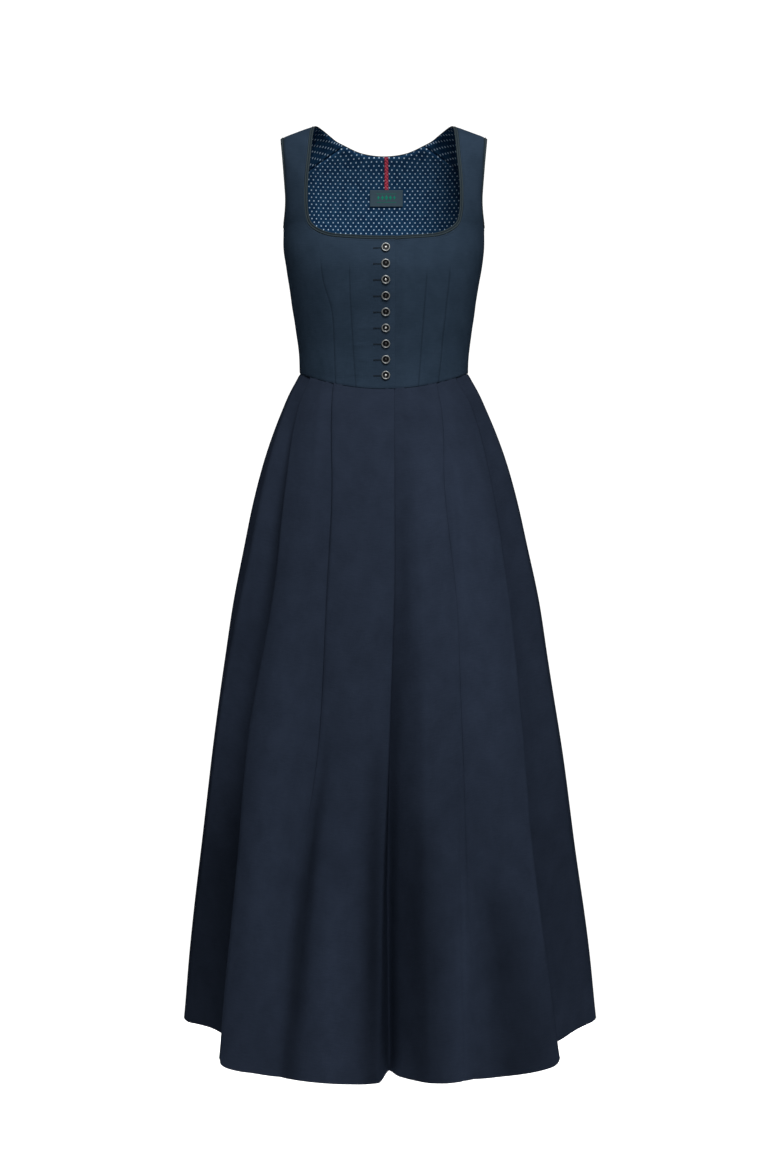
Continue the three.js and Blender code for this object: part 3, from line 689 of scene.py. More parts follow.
def whole_armhole(shares, foot_count, is_loop=False):
    """The armhole from its foot in front to its foot behind, without the last place if it is a loop."""
    foot = armhole_foot(foot_count)
    last = foot[:-1] if is_loop else foot
    return armhole(np.concatenate([-foot[::-1], mix(-STRAP_FOOT, STRAP_FOOT, shares)[1:-1], last]))


NECK_START = -OVERLAP_HALF / NECKLINE_ROWS[1][0]  # the row where a front's edge meets the neckline
FRONT_EDGE = -8  # a size of across that is past any front's edge

EDGES = dict(
    neck=lambda shares: neckline(mix(NECK_START, CENTRE_BACK_ROW, shares)),
    arm=lambda shares: whole_armhole(shares, 200),
    front_waist=lambda shares: front_waist(mix(FRONT_EDGE, SIDE_EDGE, shares)),
    back_waist=lambda shares: back_waist(mix(-SIDE_EDGE, SIDE_EDGE, shares)),
    front_side=lambda shares: side_seam(shares, -1),
    back_side=lambda shares: side_seam(shares, 1),
    shoulder=lambda shares: mix(armhole(ARMHOLE_SEAM), neckline(SEAM_ROW), shares[:, None]),
)


def edge_line(kind, side, dips=False):
    """Points along an edge of the bodice, close together."""
    return placed(EDGES[kind](np.linspace(0, 1, 1200)), side, dips)[0]


WAIST_TROUGH = dict(depth=0.5, width=1.2)
SEAM_TROUGH = dict(depth=0.6, width=0.9)
EDGE_SINK = 0.35
STITCH_SINK = 0.3
STITCH_SINK_WIDTH = 0.9
SEAM_FULLNESS = 0.2  # how full the cloth stands beside a seam, as a share of the seam's depth
FRONT_NOISE = dict(height=0.35, wavelength=60)
BACK_NOISE = dict(height=0.5, wavelength=70)


def sewn_edge(distance, depth, width):
    """A trough at a seam, with the cloth a little full beside it."""
    beside = bell((distance - 3 * width) / (1.5 * width))
    return -depth * bell(distance / width) + SEAM_FULLNESS * depth * beside


def topstitched(distance):
    """An edge that is stitched down a little way in."""
    in_from_stitch = distance - STITCH_IN
    return (-EDGE_SINK * bell(distance / STITCH_SINK_WIDTH)
            - STITCH_SINK * bell(in_from_stitch / STITCH_SINK_WIDTH))


GOLDEN_ANGLE = 2.39996


def soft_noise(x, z, wavelength, seed):
    """A smooth unevenness between about -1 and 1, the sum of waves that run five ways.

    The waves' lengths, ways and starts are set so that they never fall together."""
    total = 0
    for k in range(5):
        turn = seed * 1.7 + k * GOLDEN_ANGLE
        scale = 2 * math.pi / (wavelength * (0.75 + 0.17 * k))
        total = total + np.sin((x * math.cos(turn) + z * math.sin(turn)) * scale + seed * 5.1 + k * 1.3)
    return total / 3


def add_lift(block, lift):
    block["point"] = block["point"] + block["normal"] * lift[..., None]


def add_darts(block, lines, is_front):
    """Darts are seams that fade out at their tips. Their distances go into the third cloth number, where they
    paint a dark line of crease shade.
    """
    point = block["point"]
    facing = point[..., 1] < 0 if is_front else point[..., 1] > 0
    drop = -point[..., 2]
    lift = np.zeros(drop.shape)
    closest = np.full(drop.shape, float(FAR))
    for line in lines:
        x_line, drop_line = np.array(line, float).T
        middle = curve_at(drop_line, x_line, drop)
        aslant = math.hypot(1, (x_line[-1] - x_line[0]) / (drop_line[-1] - drop_line[0]))
        away = (point[..., 0] - middle) / aslant
        begun = smooth((drop - drop_line[0]) / DART_FADE)
        trough = -DART_DEPTH * bell(away / DART_WIDTH) + DART_SWELL * bell(away / DART_SWELL_WIDTH)
        lift += facing * begun * trough
        thinned = away * (1 + DART_THINNING * (1 - begun))
        closest = np.where(facing & (np.abs(thinned) < np.abs(closest)), thinned, closest)
    block["cloth"][..., 2] = closest
    add_lift(block, lift)


def pull_lift(point):
    """Faint creases that run level from the buttons, where the front is pulled closed."""
    lift = np.zeros(point.shape[:-1])
    for x, drop, reach, height, slope in PULLS:
        level = -drop + slope * (point[..., 0] - x)
        lift += height * bell((point[..., 0] - x) / reach) * bell((point[..., 2] - level) / PULL_WIDTH)
    return np.where(point[..., 1] < PULL_Y, lift, 0)


def uneven(x, z, seed, height, wavelength):
    return height * soft_noise(x, z, wavelength, seed)


def sewn_blocks(blocks, sides, dips, waist, side_seam, darts, noise, seed, has_pulls):
    """The blocks of one piece, with its seams, darts and creases."""
    necks = [edge_line("neck", side, dips) for side in sides]
    arms = [edge_line("arm", side) for side in sides]
    waists = [edge_line(waist, sides[-1], dips)]
    seams = [edge_line(kind, side) for kind in (side_seam, "shoulder") for side in sides]
    for block in blocks:
        point = block["point"]
        lift = topstitched(line_distance(point, necks)) + topstitched(line_distance(point, arms))
        lift += sewn_edge(line_distance(point, waists), **WAIST_TROUGH)
        lift += sewn_edge(line_distance(point, seams), **SEAM_TROUGH)
        lift += uneven(point[..., 0], point[..., 2], seed, **noise)
        if has_pulls:
            lift += pull_lift(point)
        add_darts(block, darts, side_seam == "front_side")
        add_lift(block, lift)
    return blocks


FINE = 0.8
COARSE = 1.6
FINE_LINING = 2
COARSE_LINING = 4
FRONT_SEED = 1
BACK_SEED = 7
SKIRT_SEED = 3

right_blocks = front_blocks(-1, False, FINE, COARSE)
right_blocks = sewn_blocks(right_blocks, [-1], False, "front_waist", "front_side", DARTS_RIGHT,
                           FRONT_NOISE, FRONT_SEED, True)
left_blocks = front_blocks(1, True, FINE, COARSE)
left_blocks = sewn_blocks(left_blocks, [1], True, "front_waist", "front_side", DARTS_LEFT,
                          FRONT_NOISE, FRONT_SEED + 2, False)
rear_blocks = back_blocks(FINE, COARSE)
rear_blocks = sewn_blocks(rear_blocks, [-1, 1], False, "back_waist", "back_side", DARTS_BACK,
                          BACK_NOISE, BACK_SEED, False)

bodice = []
for node, blocks in (("front_right", right_blocks), ("front_left", left_blocks), ("back", rear_blocks)):
    piece = shell("cloth_" + node, blocks, 0, -CLOTH)
    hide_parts(node)
    bodice.append(piece)

lining_sheets = (
    ("lining_front_right", front_blocks(-1, False, FINE_LINING, COARSE_LINING)),
    ("lining_front_left", front_blocks(1, True, FINE_LINING, COARSE_LINING)),
    ("lining_back", back_blocks(FINE_LINING, COARSE_LINING)),
)
lining_seams = [edge_line("shoulder", side) - [0, 0, LINING_DEPTH] for side in (-1, 1)]
neck_dense = EDGES["neck"](np.linspace(0, 1, 1500))
neck_right = placed(neck_dense, -1)
neck_left = placed(neck_dense, 1, True)
neck_points, neck_normals = zip(neck_right, neck_left)
neck_outs = [unit(np.cross(np.gradient(p, axis=0), n)) for p, n in zip(neck_points, neck_normals)]
neck_outs[1] = -neck_outs[1]

PIPING_IN = SEAM_GAP
PIPING_OUT = SEAM_GAP + 5.6
NECK_BEND = 0.9  # how far a piping turns down at its outer edge
ARM_BEND = 0.3
NECK_REACH = 4.8  # how far the lining goes on behind the neck's piping
NECK_REACH_RUN = 20


def reach_out(block):
    """Carries a lining's neck edge out behind the piping."""
    index, distance = nearest(block["point"], neck_points)
    amount = NECK_REACH * np.clip(1 - distance / NECK_REACH_RUN, 0, 1)[..., None]
    bend = np.concatenate(neck_normals)[index] * NECK_BEND * (amount / PIPING_OUT) ** 2
    block["point"] = block["point"] + np.concatenate(neck_outs)[index] * amount - bend


linings = []
for node, blocks in lining_sheets:
    for block in blocks:
        # The distance from the shoulder seams paints a shadow along them in the lining's colour.
        block["cloth"][..., 2] = line_distance(block["point"], lining_seams)
        reach_out(block)
    lining = shell("printed_" + node, blocks, -LINING_DEPTH, -WALL)
    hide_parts(node)
    linings.append(lining)

# ---- piping and stitches


def evened(line, spacing, is_loop=False):
    """The points and normals of a line of (point, normal) at an even spacing."""
    point, normal = line
    if is_loop:
        point = np.concatenate([point, point[:1]])
        normal = np.concatenate([normal, normal[:1]])
    run = lengths(point[None])[0]
    at = np.linspace(0, run[-1], round(run[-1] / spacing) + 1)
    at = at[:-1] if is_loop else at
    column = [np.interp(at, run, values) for values in np.concatenate([point, normal], axis=-1).T]
    both = np.stack(column, axis=-1)
    return both[:, :3], unit(both[:, 3:])


def edge_stations(line, is_loop, hand):
    """Stations with out away from the cloth: to the right hand of the way the line runs, or its left."""
    point, normal = line
    if is_loop:
        way = np.roll(point, -1, axis=0) - np.roll(point, 1, axis=0)
    else:
        way = np.gradient(point, axis=0)
    return point, unit(np.cross(way, normal)) * hand, normal


def bump(s, middle, radius):
    return np.sqrt(np.clip(1 - ((s - middle) / radius) ** 2, 0, None))


CORD_RADIUS = 0.8
CORD_TOP = 0.45
CORD_SINK = 0.9
PIPING_BACK = 1.2
PIPING_SPACING = 1.6
STITCH_SPACING = 1.0
NECK_CORDS = (1.75, 5.1)
ARM_CORDS = (3.1,)


def piping_section(cords, turned):
    """A piping's section as [out, up], with cords that stand up from a web, and its share of cord, which
    places the painted groove shade.
    """
    s = np.linspace(PIPING_IN, PIPING_OUT, 25)
    rise = np.max([bump(s, middle, CORD_RADIUS) for middle in cords], axis=0)
    bend = turned * (s / PIPING_OUT) ** 2
    front = CORD_TOP - CORD_SINK * (1 - rise) - bend
    behind = -PIPING_BACK - bend
    section = np.concatenate([np.stack([s, front], axis=-1), np.stack([s, behind], axis=-1)[::-1]])
    return section, np.concatenate([rise, np.full(len(s), 0.5)])


neck_whole = [np.concatenate([r, l[::-1][1:]]) for r, l in zip(neck_right, neck_left)]
neck_line = evened(neck_whole, PIPING_SPACING)
section, ridges = piping_section(NECK_CORDS, NECK_BEND)
neck_piping = swept("neck_cords", edge_stations(neck_line, False, 1), section, mark=ridges)
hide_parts("neck_piping")
pipings = [neck_piping]

arm_dense = whole_armhole(np.linspace(0, 1, 1000), 100, True)
arm_lines = {}
section, ridges = piping_section(ARM_CORDS, ARM_BEND)
for side, word in ((-1, "right"), (1, "left")):
    arm_lines[side] = evened(placed(arm_dense, side), PIPING_SPACING, True)
    stations = edge_stations(arm_lines[side], True, side)
    arm_piping = swept("arm_cord_" + word, stations, section, True, ridges)
    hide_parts("arm_piping_" + word)
    pipings.append(arm_piping)


THREAD_SIDES = 6


def threads(name, middle, aside, up, size):
    """Short closed threads, a row of middles for each. aside and up are their directions across."""
    turns = np.arange(THREAD_SIDES) * math.tau / THREAD_SIDES
    ring = (
        middle[:, :, None]
        + aside[:, :, None] * (np.cos(turns) * size[:, None])[..., None]
        + up[:, :, None] * (np.sin(turns) * size[:, None])[..., None]
    )
    at = np.arange(ring.size // 3).reshape(ring.shape[:3])
    closed = np.concatenate([at, at[:, :, :1]], axis=2)
    faces = quads(closed.swapaxes(1, 2)).tolist() + at[:, 0].tolist() + at[:, -1, ::-1].tolist()
    return mesh_object(name, ring.reshape(-1, 3), faces, np.zeros((ring.size // 3, 3)))


# A stitch's stations along its length, with its thickness and its arch at each, as shares of its radius.
STITCH_SHARES = np.array([0, 0.12, 0.5, 0.88, 1])
STITCH_SWELL = np.array([0.25, 0.8, 1, 0.8, 0.25])
STITCH_ARCH = np.array([-0.6, 0, 0.35, 0, -0.6])


def stitch_row(name, stations, inset, lift, length, gap, radius, slot):
    """A row of stitches that runs beside an edge: a short thread for every length and gap."""
    point, out, up = stations
    line = point - out * inset + up * lift
    run = lengths(line[None])[0]
    starts = np.arange(gap, run[-1] - length - gap, length + gap)
    at = starts[:, None] + STITCH_SHARES * length
    middle = np.stack([np.interp(at, run, column) for column in line.T], axis=-1)
    ups = unit(np.stack([np.interp(at, run, column) for column in up.T], axis=-1))
    outs = unit(np.stack([np.interp(at, run, column) for column in out.T], axis=-1))
    middle = middle + ups * (STITCH_ARCH * radius)[:, None]
    return threads(name, middle, outs, ups, STITCH_SWELL * radius)


STITCH = dict(inset=STITCH_IN, lift=-0.2, length=2.3, gap=0.9, radius=0.2, slot="bodice_cloth")
stitches = []
for side, word, neck_side in ((-1, "right", neck_right), (1, "left", neck_left)):
    stations = edge_stations(evened(neck_side, STITCH_SPACING), False, -side)
    stitches.append(stitch_row("neck_stitches_" + word, stations, **STITCH))
    stations = edge_stations(arm_lines[side], True, side)
    stitches.append(stitch_row("arm_stitches_" + word, stations, **STITCH))

# ---- buttons and buttonholes

BUTTON_COUNT = 9
BUTTON_X = 3
TOP_BUTTON_DROP = 187
BOTTOM_BUTTON_DROP = 369
BUTTON_LIFT = 0.35
BUTTON_SIDES = 64
# Buttons whose boss is painted near white as a highlight; the other bosses are painted dark as shade.
HIGHLIT_BOSSES = (1, 3, 6, 9)
# Half of a button's section, from its underside round the ring and over the boss in its middle.
BUTTON_PROFILE = (
    (0.0, 0.0), (4.8, 0.0), (5.6, 0.2), (6.1, 0.6), (6.35, 1.15), (6.4, 1.6), (6.25, 2.05), (5.95, 2.45),
    (5.55, 2.7), (5.15, 2.72), (4.85, 2.5), (4.6, 2.05), (4.45, 1.5), (4.3, 1.15), (3.4, 0.95), (2.4, 0.95),
    (1.95, 1.05), (1.75, 1.35), (1.6, 1.8), (1.4, 2.15), (1.0, 2.4), (0.5, 2.53), (0.0, 2.56),
)


def turned(profile, sides):
    """A surface of revolution about +Z, as points and faces, with each point's radius and height."""
    turns = np.arange(sides) * math.tau / sides
    rings = profile[1:-1]
    points = [(0, 0, profile[0][1])]
    points += [(r * math.cos(a), r * math.sin(a), h) for r, h in rings for a in turns]
    points += [(0, 0, profile[-1][1])]
    at = 1 + np.arange(len(rings) * sides).reshape(len(rings), sides)
    at = np.concatenate([at, at[:, :1]], axis=1)
    faces = quads(at).tolist()
    last = len(points) - 1
    faces += [[0, at[0, i + 1], at[0, i]] for i in range(sides)]
    faces += [[last, at[-1, i], at[-1, i + 1]] for i in range(sides)]
    return np.array(points), faces


def turned_to(normal):
    """A turn that brings +Z to a normal and leaves +X as level as it can be."""
    level = unit(np.array([normal[1] * -1, normal[0], 0]))
    return np.stack([level, np.cross(normal, level), normal], axis=1)


def front_spot(x, drop):
    """The point and normal of the form at an x and a drop of the front."""
    along = np.full(np.shape(x), -1.0) * drop
    across = across_at(np.asarray(x, float), along)
    return bodice_point(across, along), bodice_normal(across, along)


button_points, button_faces = turned(BUTTON_PROFILE, BUTTON_SIDES)
button_drops = [mix(TOP_BUTTON_DROP, BOTTOM_BUTTON_DROP, i / (BUTTON_COUNT - 1)) for i in range(BUTTON_COUNT)]
button_objects = []
for number, drop in enumerate(button_drops, 1):
    point, normal = front_spot(BUTTON_X, drop)
    turn = turned_to(normal)
    whole = button_points @ turn.T + point + normal * BUTTON_LIFT
    radius = np.linalg.norm(button_points[:, :2], axis=1)
    place = np.stack([radius, button_points[:, 2], np.full(len(radius), float(number))], axis=-1)
    button = mesh_object(f"metal_button_{number}", whole, button_faces, place)
    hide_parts(f"button_{number}")
    button_objects.append(button)

HOLE_LEFT = -14.6
HOLE_RIGHT = 6.5
HOLE_BELOW = 1.2
HOLE_BAR = 3.2
HOLE_START = 0.7  # from the bar to the first thread of the lips
HOLE_PITCH = 0.62
HOLE_LIP = 1.15
HOLE_SLIT = 0.12
HOLE_SLANT = 0.1
BAR_PITCH = 0.3
THREAD = 0.32

# A thread's stations along its length, with its thickness and its lift at each.
THREAD_SHARES = np.array([0, 0.15, 0.5, 0.85, 1])
THREAD_SWELL = np.array([0.3, 0.85, 1, 0.85, 0.3])
THREAD_LIFT = np.array([-0.1, 0.05, 0.12, 0.05, -0.1])


def sewn_threads(name, lines, radius):
    """Short straight threads, each from one [x, drop] of the right front to another."""
    first, last = np.array(lines, float)[:, :, None].swapaxes(0, 1)
    spots = mix(first, last, THREAD_SHARES[:, None])
    point, normal = front_spot(spots[..., 0], spots[..., 1])
    cloth_lift = uneven(point[..., 0], point[..., 2], FRONT_SEED, **FRONT_NOISE) + pull_lift(point)
    point = point + normal * cloth_lift[..., None]
    aside = unit(np.cross(unit(point[:, -1:] - point[:, :1]), normal))
    middle = point + normal * THREAD_LIFT[:, None]
    return threads(name, middle, aside, normal, THREAD_SWELL * radius)


hole_threads = []
for number, drop in enumerate(button_drops, 1):
    level = drop + HOLE_BELOW
    xs = np.arange(HOLE_LEFT + HOLE_START, HOLE_RIGHT, HOLE_PITCH)
    lines = [((x, level - HOLE_LIP), (x + HOLE_SLANT, level - HOLE_SLIT)) for x in xs]
    lines += [((x, level + HOLE_SLIT), (x + HOLE_SLANT, level + HOLE_LIP)) for x in xs]
    for x in (HOLE_LEFT - BAR_PITCH, HOLE_LEFT, HOLE_LEFT + BAR_PITCH):
        lines.append(((x, level - HOLE_BAR / 2), (x, level + HOLE_BAR / 2)))
    hole_threads.append(sewn_threads(f"buttonhole_{number}", lines, THREAD))

# ---- label and hanging tape

UNDER_LINING = 3.7  # how far the trims' own backs lie inside the form
LABEL_BACK = UNDER_LINING - 0.3
TAPE_BACK = UNDER_LINING - 1.4
CENTRE_BACK_X = 3.5
TAPE_TOP_DROP = 36
LABEL_WIDTH = 51
LABEL_HEIGHT = 25
LABEL_TOP_DROP = 84
LABEL_THICKNESS = 0.9
LABEL_FACE = LABEL_BACK + LABEL_THICKNESS
FINE_TRIM = 0.25


def inner_spot(x, drop, depth):
    """A point inside the back, and the direction towards the middle of the dress."""
    x, drop = np.broadcast_arrays(np.asarray(x, float), np.asarray(drop, float))
    along = along_at_drop(drop, x)
    across = across_at(x, along)
    normal = bodice_normal(across, along)
    return bodice_point(across, along) - normal * depth, -normal


def inner_patch(name, left, right, top, bottom, depth, thickness, columns, rows):
    """A flat piece inside the back, with rounded edges."""
    xs = mix(left, right, graded(right - left, FINE_TRIM, (right - left) / columns))
    drops = mix(top, bottom, graded(bottom - top, FINE_TRIM, (bottom - top) / rows))
    x, drop = np.meshgrid(xs, drops)
    point, inward = inner_spot(x, drop, depth)
    edge = np.minimum(np.minimum(x - left, right - x), np.minimum(drop - top, bottom - drop))
    full = quarter(edge / (thickness / 2)) * thickness / 2
    block = dict(point=point + inward * thickness / 2, normal=inward, face=full, behind=-full)
    block["cloth"] = np.stack([x, drop, np.zeros(x.shape)], axis=-1)
    return shell(name, [block], "face", "behind")


label = inner_patch(
    "woven_label", CENTRE_BACK_X - LABEL_WIDTH / 2, CENTRE_BACK_X + LABEL_WIDTH / 2,
    LABEL_TOP_DROP, LABEL_TOP_DROP + LABEL_HEIGHT, LABEL_BACK, LABEL_THICKNESS,
    columns=40, rows=20)
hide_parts("label")

# The label's pattern: a row of lozenges between two lines, in drops below the label's top.
LOZENGES = 5
LOZENGE_PITCH = 6.2
LOZENGE_DROP = 11.5
LOZENGE_HALF = (2.7, 4.4)
LOZENGE_SHRINK = 0.12  # how much smaller each is than the one nearer the middle
LOZENGE_RAISED = 0.22
LOZENGE_ROUND = 0.3
LOZENGE_SUNK = 0.1
LABEL_LINE_DROPS = (5.2, 17.8)
LABEL_LINE_HEIGHT = 0.8
LABEL_LINE_THICKNESS = 0.3
LABEL_LINE_SUNK = 0.1


def lozenge(name, x, drop, half_width, half_height):
    """A small woven lozenge on the label, a little raised."""
    shares = np.linspace(-1, 1, 13)
    u, v = np.meshgrid(shares, shares)
    across = (u + v) / 2 * half_width
    down = (u - v) / 2 * half_height
    point, inward = inner_spot(x + across, drop + down, LABEL_FACE)
    edge = 1 - np.maximum(np.abs(u), np.abs(v))
    block = dict(point=point, normal=inward, face=LOZENGE_RAISED * quarter(edge / LOZENGE_ROUND))
    block["cloth"] = np.stack([across, down, np.zeros(u.shape)], axis=-1)
    return shell(name, [block], "face", -LOZENGE_SUNK)


motifs = []
for number in range(1, LOZENGES + 1):
    from_middle = number - (LOZENGES + 1) / 2
    half_width, half_height = np.array(LOZENGE_HALF) * (1 - LOZENGE_SHRINK * abs(from_middle))
    x = CENTRE_BACK_X + from_middle * LOZENGE_PITCH
    motif = lozenge(f"label_lozenge_{number}", x, LABEL_TOP_DROP + LOZENGE_DROP, half_width, half_height)
    motifs.append(motif)
for number, down in enumerate(LABEL_LINE_DROPS, 1):
    half = LOZENGES * LOZENGE_PITCH / 2
    top = LABEL_TOP_DROP + down
    motifs.append(inner_patch(
        f"label_line_{number}", CENTRE_BACK_X - half, CENTRE_BACK_X + half, top, top + LABEL_LINE_HEIGHT,
        LABEL_FACE - LABEL_LINE_SUNK, LABEL_LINE_THICKNESS, columns=40, rows=3))

BRAID_PITCH = 15
BRAID_RADIUS = 1.05
BRAID_SWING = 2.3
BRAID_CROSS = 0.75
BRAID_SQUEEZE = (1.05, 0.8)  # a strand's width and thickness, as shares of its radius
TAPE_TO_LABEL = 0.3


def braid(strand):
    """One of the tape's three strands, as stations."""
    drop = np.linspace(TAPE_TOP_DROP, LABEL_TOP_DROP - TAPE_TO_LABEL, 150)
    turn = (drop / BRAID_PITCH + strand / 3) * math.tau
    x = CENTRE_BACK_X + BRAID_SWING * np.sin(turn)
    point, inward = inner_spot(x, drop, TAPE_BACK)
    point = point + inward * (BRAID_RADIUS + BRAID_CROSS * np.sin(2 * turn))[:, None]
    way = unit(np.gradient(point, axis=0))
    aside = unit(np.cross(way, inward))
    return point, aside, unit(np.cross(aside, way))


turns = np.arange(10) * math.tau / 10
braid_section = np.stack([np.cos(turns), np.sin(turns)], axis=-1) * BRAID_RADIUS * BRAID_SQUEEZE
tape_strands = [swept(f"braid_strand_{k + 1}", braid(k), braid_section) for k in range(3)]
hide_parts("back_tape")

# ---- the skirt's form


def skirt_column(down):
    return column_at(SKIRT_SECTIONS, SKIRT_COLUMNS, "down", "half_width", down)


def skirt_flare(down):
    top, hem = SKIRT_SECTIONS[0][1], SKIRT_SECTIONS[-1][1]
    return (skirt_column(down) - top) / (hem - top)


def skirt_outline(angle, down):
    waist = dict(zip(BODICE_COLUMNS, BODICE_SECTIONS[-1]))
    flare = skirt_flare(down)
    is_front = np.abs(angle) < 90
    power = mix(waist["power"], HEM_POWER, flare)
    depth = np.where(is_front, mix(waist["front"], HEM_FRONT, flare), mix(waist["back"], HEM_BACK, flare))
    sine = sind(angle)
    x = sine * skirt_column(down) + np.abs(sine) * HEM_SWAY * down
    y = np.where(is_front, -1, 1) * depth * np.abs(cosd(angle)) ** power
    return np.stack([x, y], axis=-1)


def skirt_frame(angle, down):
    """The outline's point at an angle, with its directions along and inwards, and mm per degree."""
    angle, down = np.broadcast_arrays(np.asarray(angle, float), np.asarray(down, float))
    step = np.where((np.abs(angle) < 90) == (angle > 0), -1.0, 1.0)
    here = skirt_outline(angle, down)
    along = (skirt_outline(angle + step, down) - here) * step[..., None]
    per_degree = np.linalg.norm(along, axis=-1)
    along = along / per_degree[..., None]
    return here, along, np.stack([-along[..., 1], along[..., 0]], axis=-1), per_degree


def skirt_vertex(plan, angle, down):
    start = waist_drop(angle, np.abs(angle) < 90) + WAIST_GAP / 2
    end = HEM_DROP - HEM_RISE * sind(angle) ** 4
    return np.concatenate([plan, -mix(start, end, down)[..., None]], axis=-1)


def skirt_spot(angle, down, depth):
    angle = np.broadcast_to(np.asarray(angle, float), down.shape)
    here, _, inward, _ = skirt_frame(angle, down)
    return skirt_vertex(here + inward * np.asarray(depth)[..., None], angle, down)


MID = 0.6  # how deep the middle of the skirt's cloth lies under the outline


def pressed_pleat(pleat):
    """A pleat's seven points at the waist as [past the fold, behind it]."""
    half = FOLD_STEP / 2
    tuck = pleat["tuck"]
    return np.array([
        (-half, 0),
        (0, half),
        (-half, FOLD_STEP),
        (half - tuck, FOLD_STEP),
        (-tuck, FOLD_STEP + half),
        (half - tuck, 2 * FOLD_STEP),
        (RISE_CLEAR, 2 * FOLD_STEP),
    ])


def open_pleat(pleat):
    """The same points at the hem, where the pleat stands open."""
    root, rise = np.array(pleat["root"], float), np.array(pleat["rise"], float)
    reach = np.linalg.norm(root)
    edge_round = min(EDGE_ROUND_HEM, reach / 2)
    root_round = min(ROOT_ROUND_HEM, reach / 2)
    edge_in = np.array([-edge_round / 2, 0])
    edge_out = root / reach * edge_round
    edge_mid = (edge_in + edge_out) / 4
    root_in = root * (1 - root_round / 2 / reach)
    root_out = root + unit(rise - root) * root_round / 2
    root_mid = (root_in + root_out) / 4 + root / 2
    points = np.array([edge_in, edge_mid, edge_out, root_in, root_mid, root_out, rise])
    return points + [0, pleat["curl"]]


def pleat_at(pleat, down):
    """A pleat's points at every height, in the order of growing angles, with its end angles."""
    angle = curve_at(EDGE_HEIGHTS, pleat["edge"], down)
    open_share = np.clip(down / pleat["open_by"], 0, 1) ** OPEN_POWER
    here, along, inward, per_degree = skirt_frame(angle, down)
    points = []
    for pressed, opened in zip(pressed_pleat(pleat), open_pleat(pleat)):
        past = mix(pressed[0], opened[0], open_share) * pleat["faces"]
        behind = mix(pressed[1], opened[1], open_share) + MID
        plan = here + along * past[:, None] + inward * behind[:, None]
        points.append(skirt_vertex(plan, angle + past / per_degree, down))
    landing = angle + pleat["faces"] * mix(pleat["landing"][0], pleat["landing"][1], down)
    points.append(skirt_spot(landing, down, np.full(down.shape, MID)))
    if pleat["faces"] > 0:
        return points, angle, landing
    return points[::-1], landing, angle


def panel_at(start, end, down):
    """Points of a panel between two angles, ends left out."""
    points = []
    for i in range(PANEL_POINTS):
        share = (i + 1) / (PANEL_POINTS + 1)
        swell = PANEL_SWELL * down * math.sin(share * math.pi)
        points.append(skirt_spot(mix(start, end, share), down, MID - swell))
    return points


def skirt_controls(down):
    """The skirt's control points round every height, from the centre back and back again, and its seams."""
    flat = np.full(down.shape, MID)
    ring = [skirt_spot(-180, down, flat)]
    seams = [0]
    start = np.full(down.shape, -180.0)
    for pleat in PLEATS:
        points, first, last = pleat_at(pleat, down)
        for side in (-90, 90):
            if start[0] < side < first[0]:
                ring += panel_at(start, side, down)
                ring.append(skirt_spot(side, down, flat))
                seams.append(len(ring) - 1)
                start = np.full(down.shape, float(side))
        ring += panel_at(start, first, down)
        if pleat["name"] == "front_opening":
            seams.append(len(ring) + ROOT_POINT)
        ring += points
        start = last
    ring += panel_at(start, 180, down)
    ring.append(skirt_spot(180, down, flat))
    seams.append(len(ring) - 1)
    return np.stack(ring, axis=1), seams


def spline(before, first, second, after, share):
    """A centripetal Catmull-Rom curve from first to second."""
    gaps = [np.sqrt(np.maximum(np.linalg.norm(b - a, axis=-1, keepdims=True), 1e-6))
            for a, b in ((before, first), (first, second), (second, after))]
    t0 = np.zeros_like(gaps[0])
    t1 = t0 + gaps[0]
    t2 = t1 + gaps[1]
    t3 = t2 + gaps[2]
    t = mix(t1, t2, share)
    a1 = (t1 - t) / (t1 - t0) * before + (t - t0) / (t1 - t0) * first
    a2 = (t2 - t) / (t2 - t1) * first + (t - t1) / (t2 - t1) * second
    a3 = (t3 - t) / (t3 - t2) * second + (t - t2) / (t3 - t2) * after
    b1 = (t2 - t) / (t2 - t0) * a1 + (t - t0) / (t2 - t0) * a2
    b2 = (t3 - t) / (t3 - t1) * a2 + (t - t1) / (t3 - t1) * a3
    return (t2 - t) / (t2 - t1) * b1 + (t - t1) / (t2 - t1) * b2


def skirt_grid(down, spacing, least):
    """A fine grid through the control points, rows from the waist to the hem, with its seam columns."""
    controls, seams = skirt_controls(down)
    count = controls.shape[1]
    longest = np.linalg.norm(np.diff(controls, axis=1), axis=-1).max(axis=0)
    columns, seam_columns = [], []
    for i in range(count - 1):
        if i in seams:
            seam_columns.append(len(columns))
        before = controls[:, i - 1 if i > 0 else count - 2]
        after = controls[:, i + 2 if i + 2 < count else 1]
        pieces = max(least, math.ceil(longest[i] / spacing))
        for k in range(pieces):
            columns.append(spline(before, controls[:, i], controls[:, i + 1], after, k / pieces))
    seam_columns.append(len(columns))
    columns.append(controls[:, -1])
    return np.stack(columns, axis=1), seam_columns


def grid_normals(grid):
    """Outward directions of a ring of columns that closes on itself."""
    round_it = np.concatenate([grid[:, -2:-1], grid, grid[:, 1:2]], axis=1)
    sideways = round_it[:, 2:] - round_it[:, :-2]
    upwards = -np.gradient(grid, axis=0)
    return unit(np.cross(sideways, upwards))


SKIRT_SPACING = 5.2
SKIRT_LEAST = 3
SKIRT_ROW = 6.6
SKIRT_ROW_FINE = 0.35
SKIRT_CLOTH = 0.9
HEM_ALLOWANCE = 38
HEM_ALLOWANCE_SHARE = 0.9  # how much thicker the cloth is where the hem is turned up
SEAM_ALLOWANCE = 8
HEM_ROUND = 1.2

# Where a pleat carries the cloth in behind the waist seam, the cloth runs up inside the bodice.
WAIST_RISE = 3.0
WAIST_RISE_FROM = 1.4  # how far behind the seam the rise begins, and over how much it grows
WAIST_RISE_OVER = 0.6
WAIST_RISE_RUN = 14  # how far below the seam the rise fades out

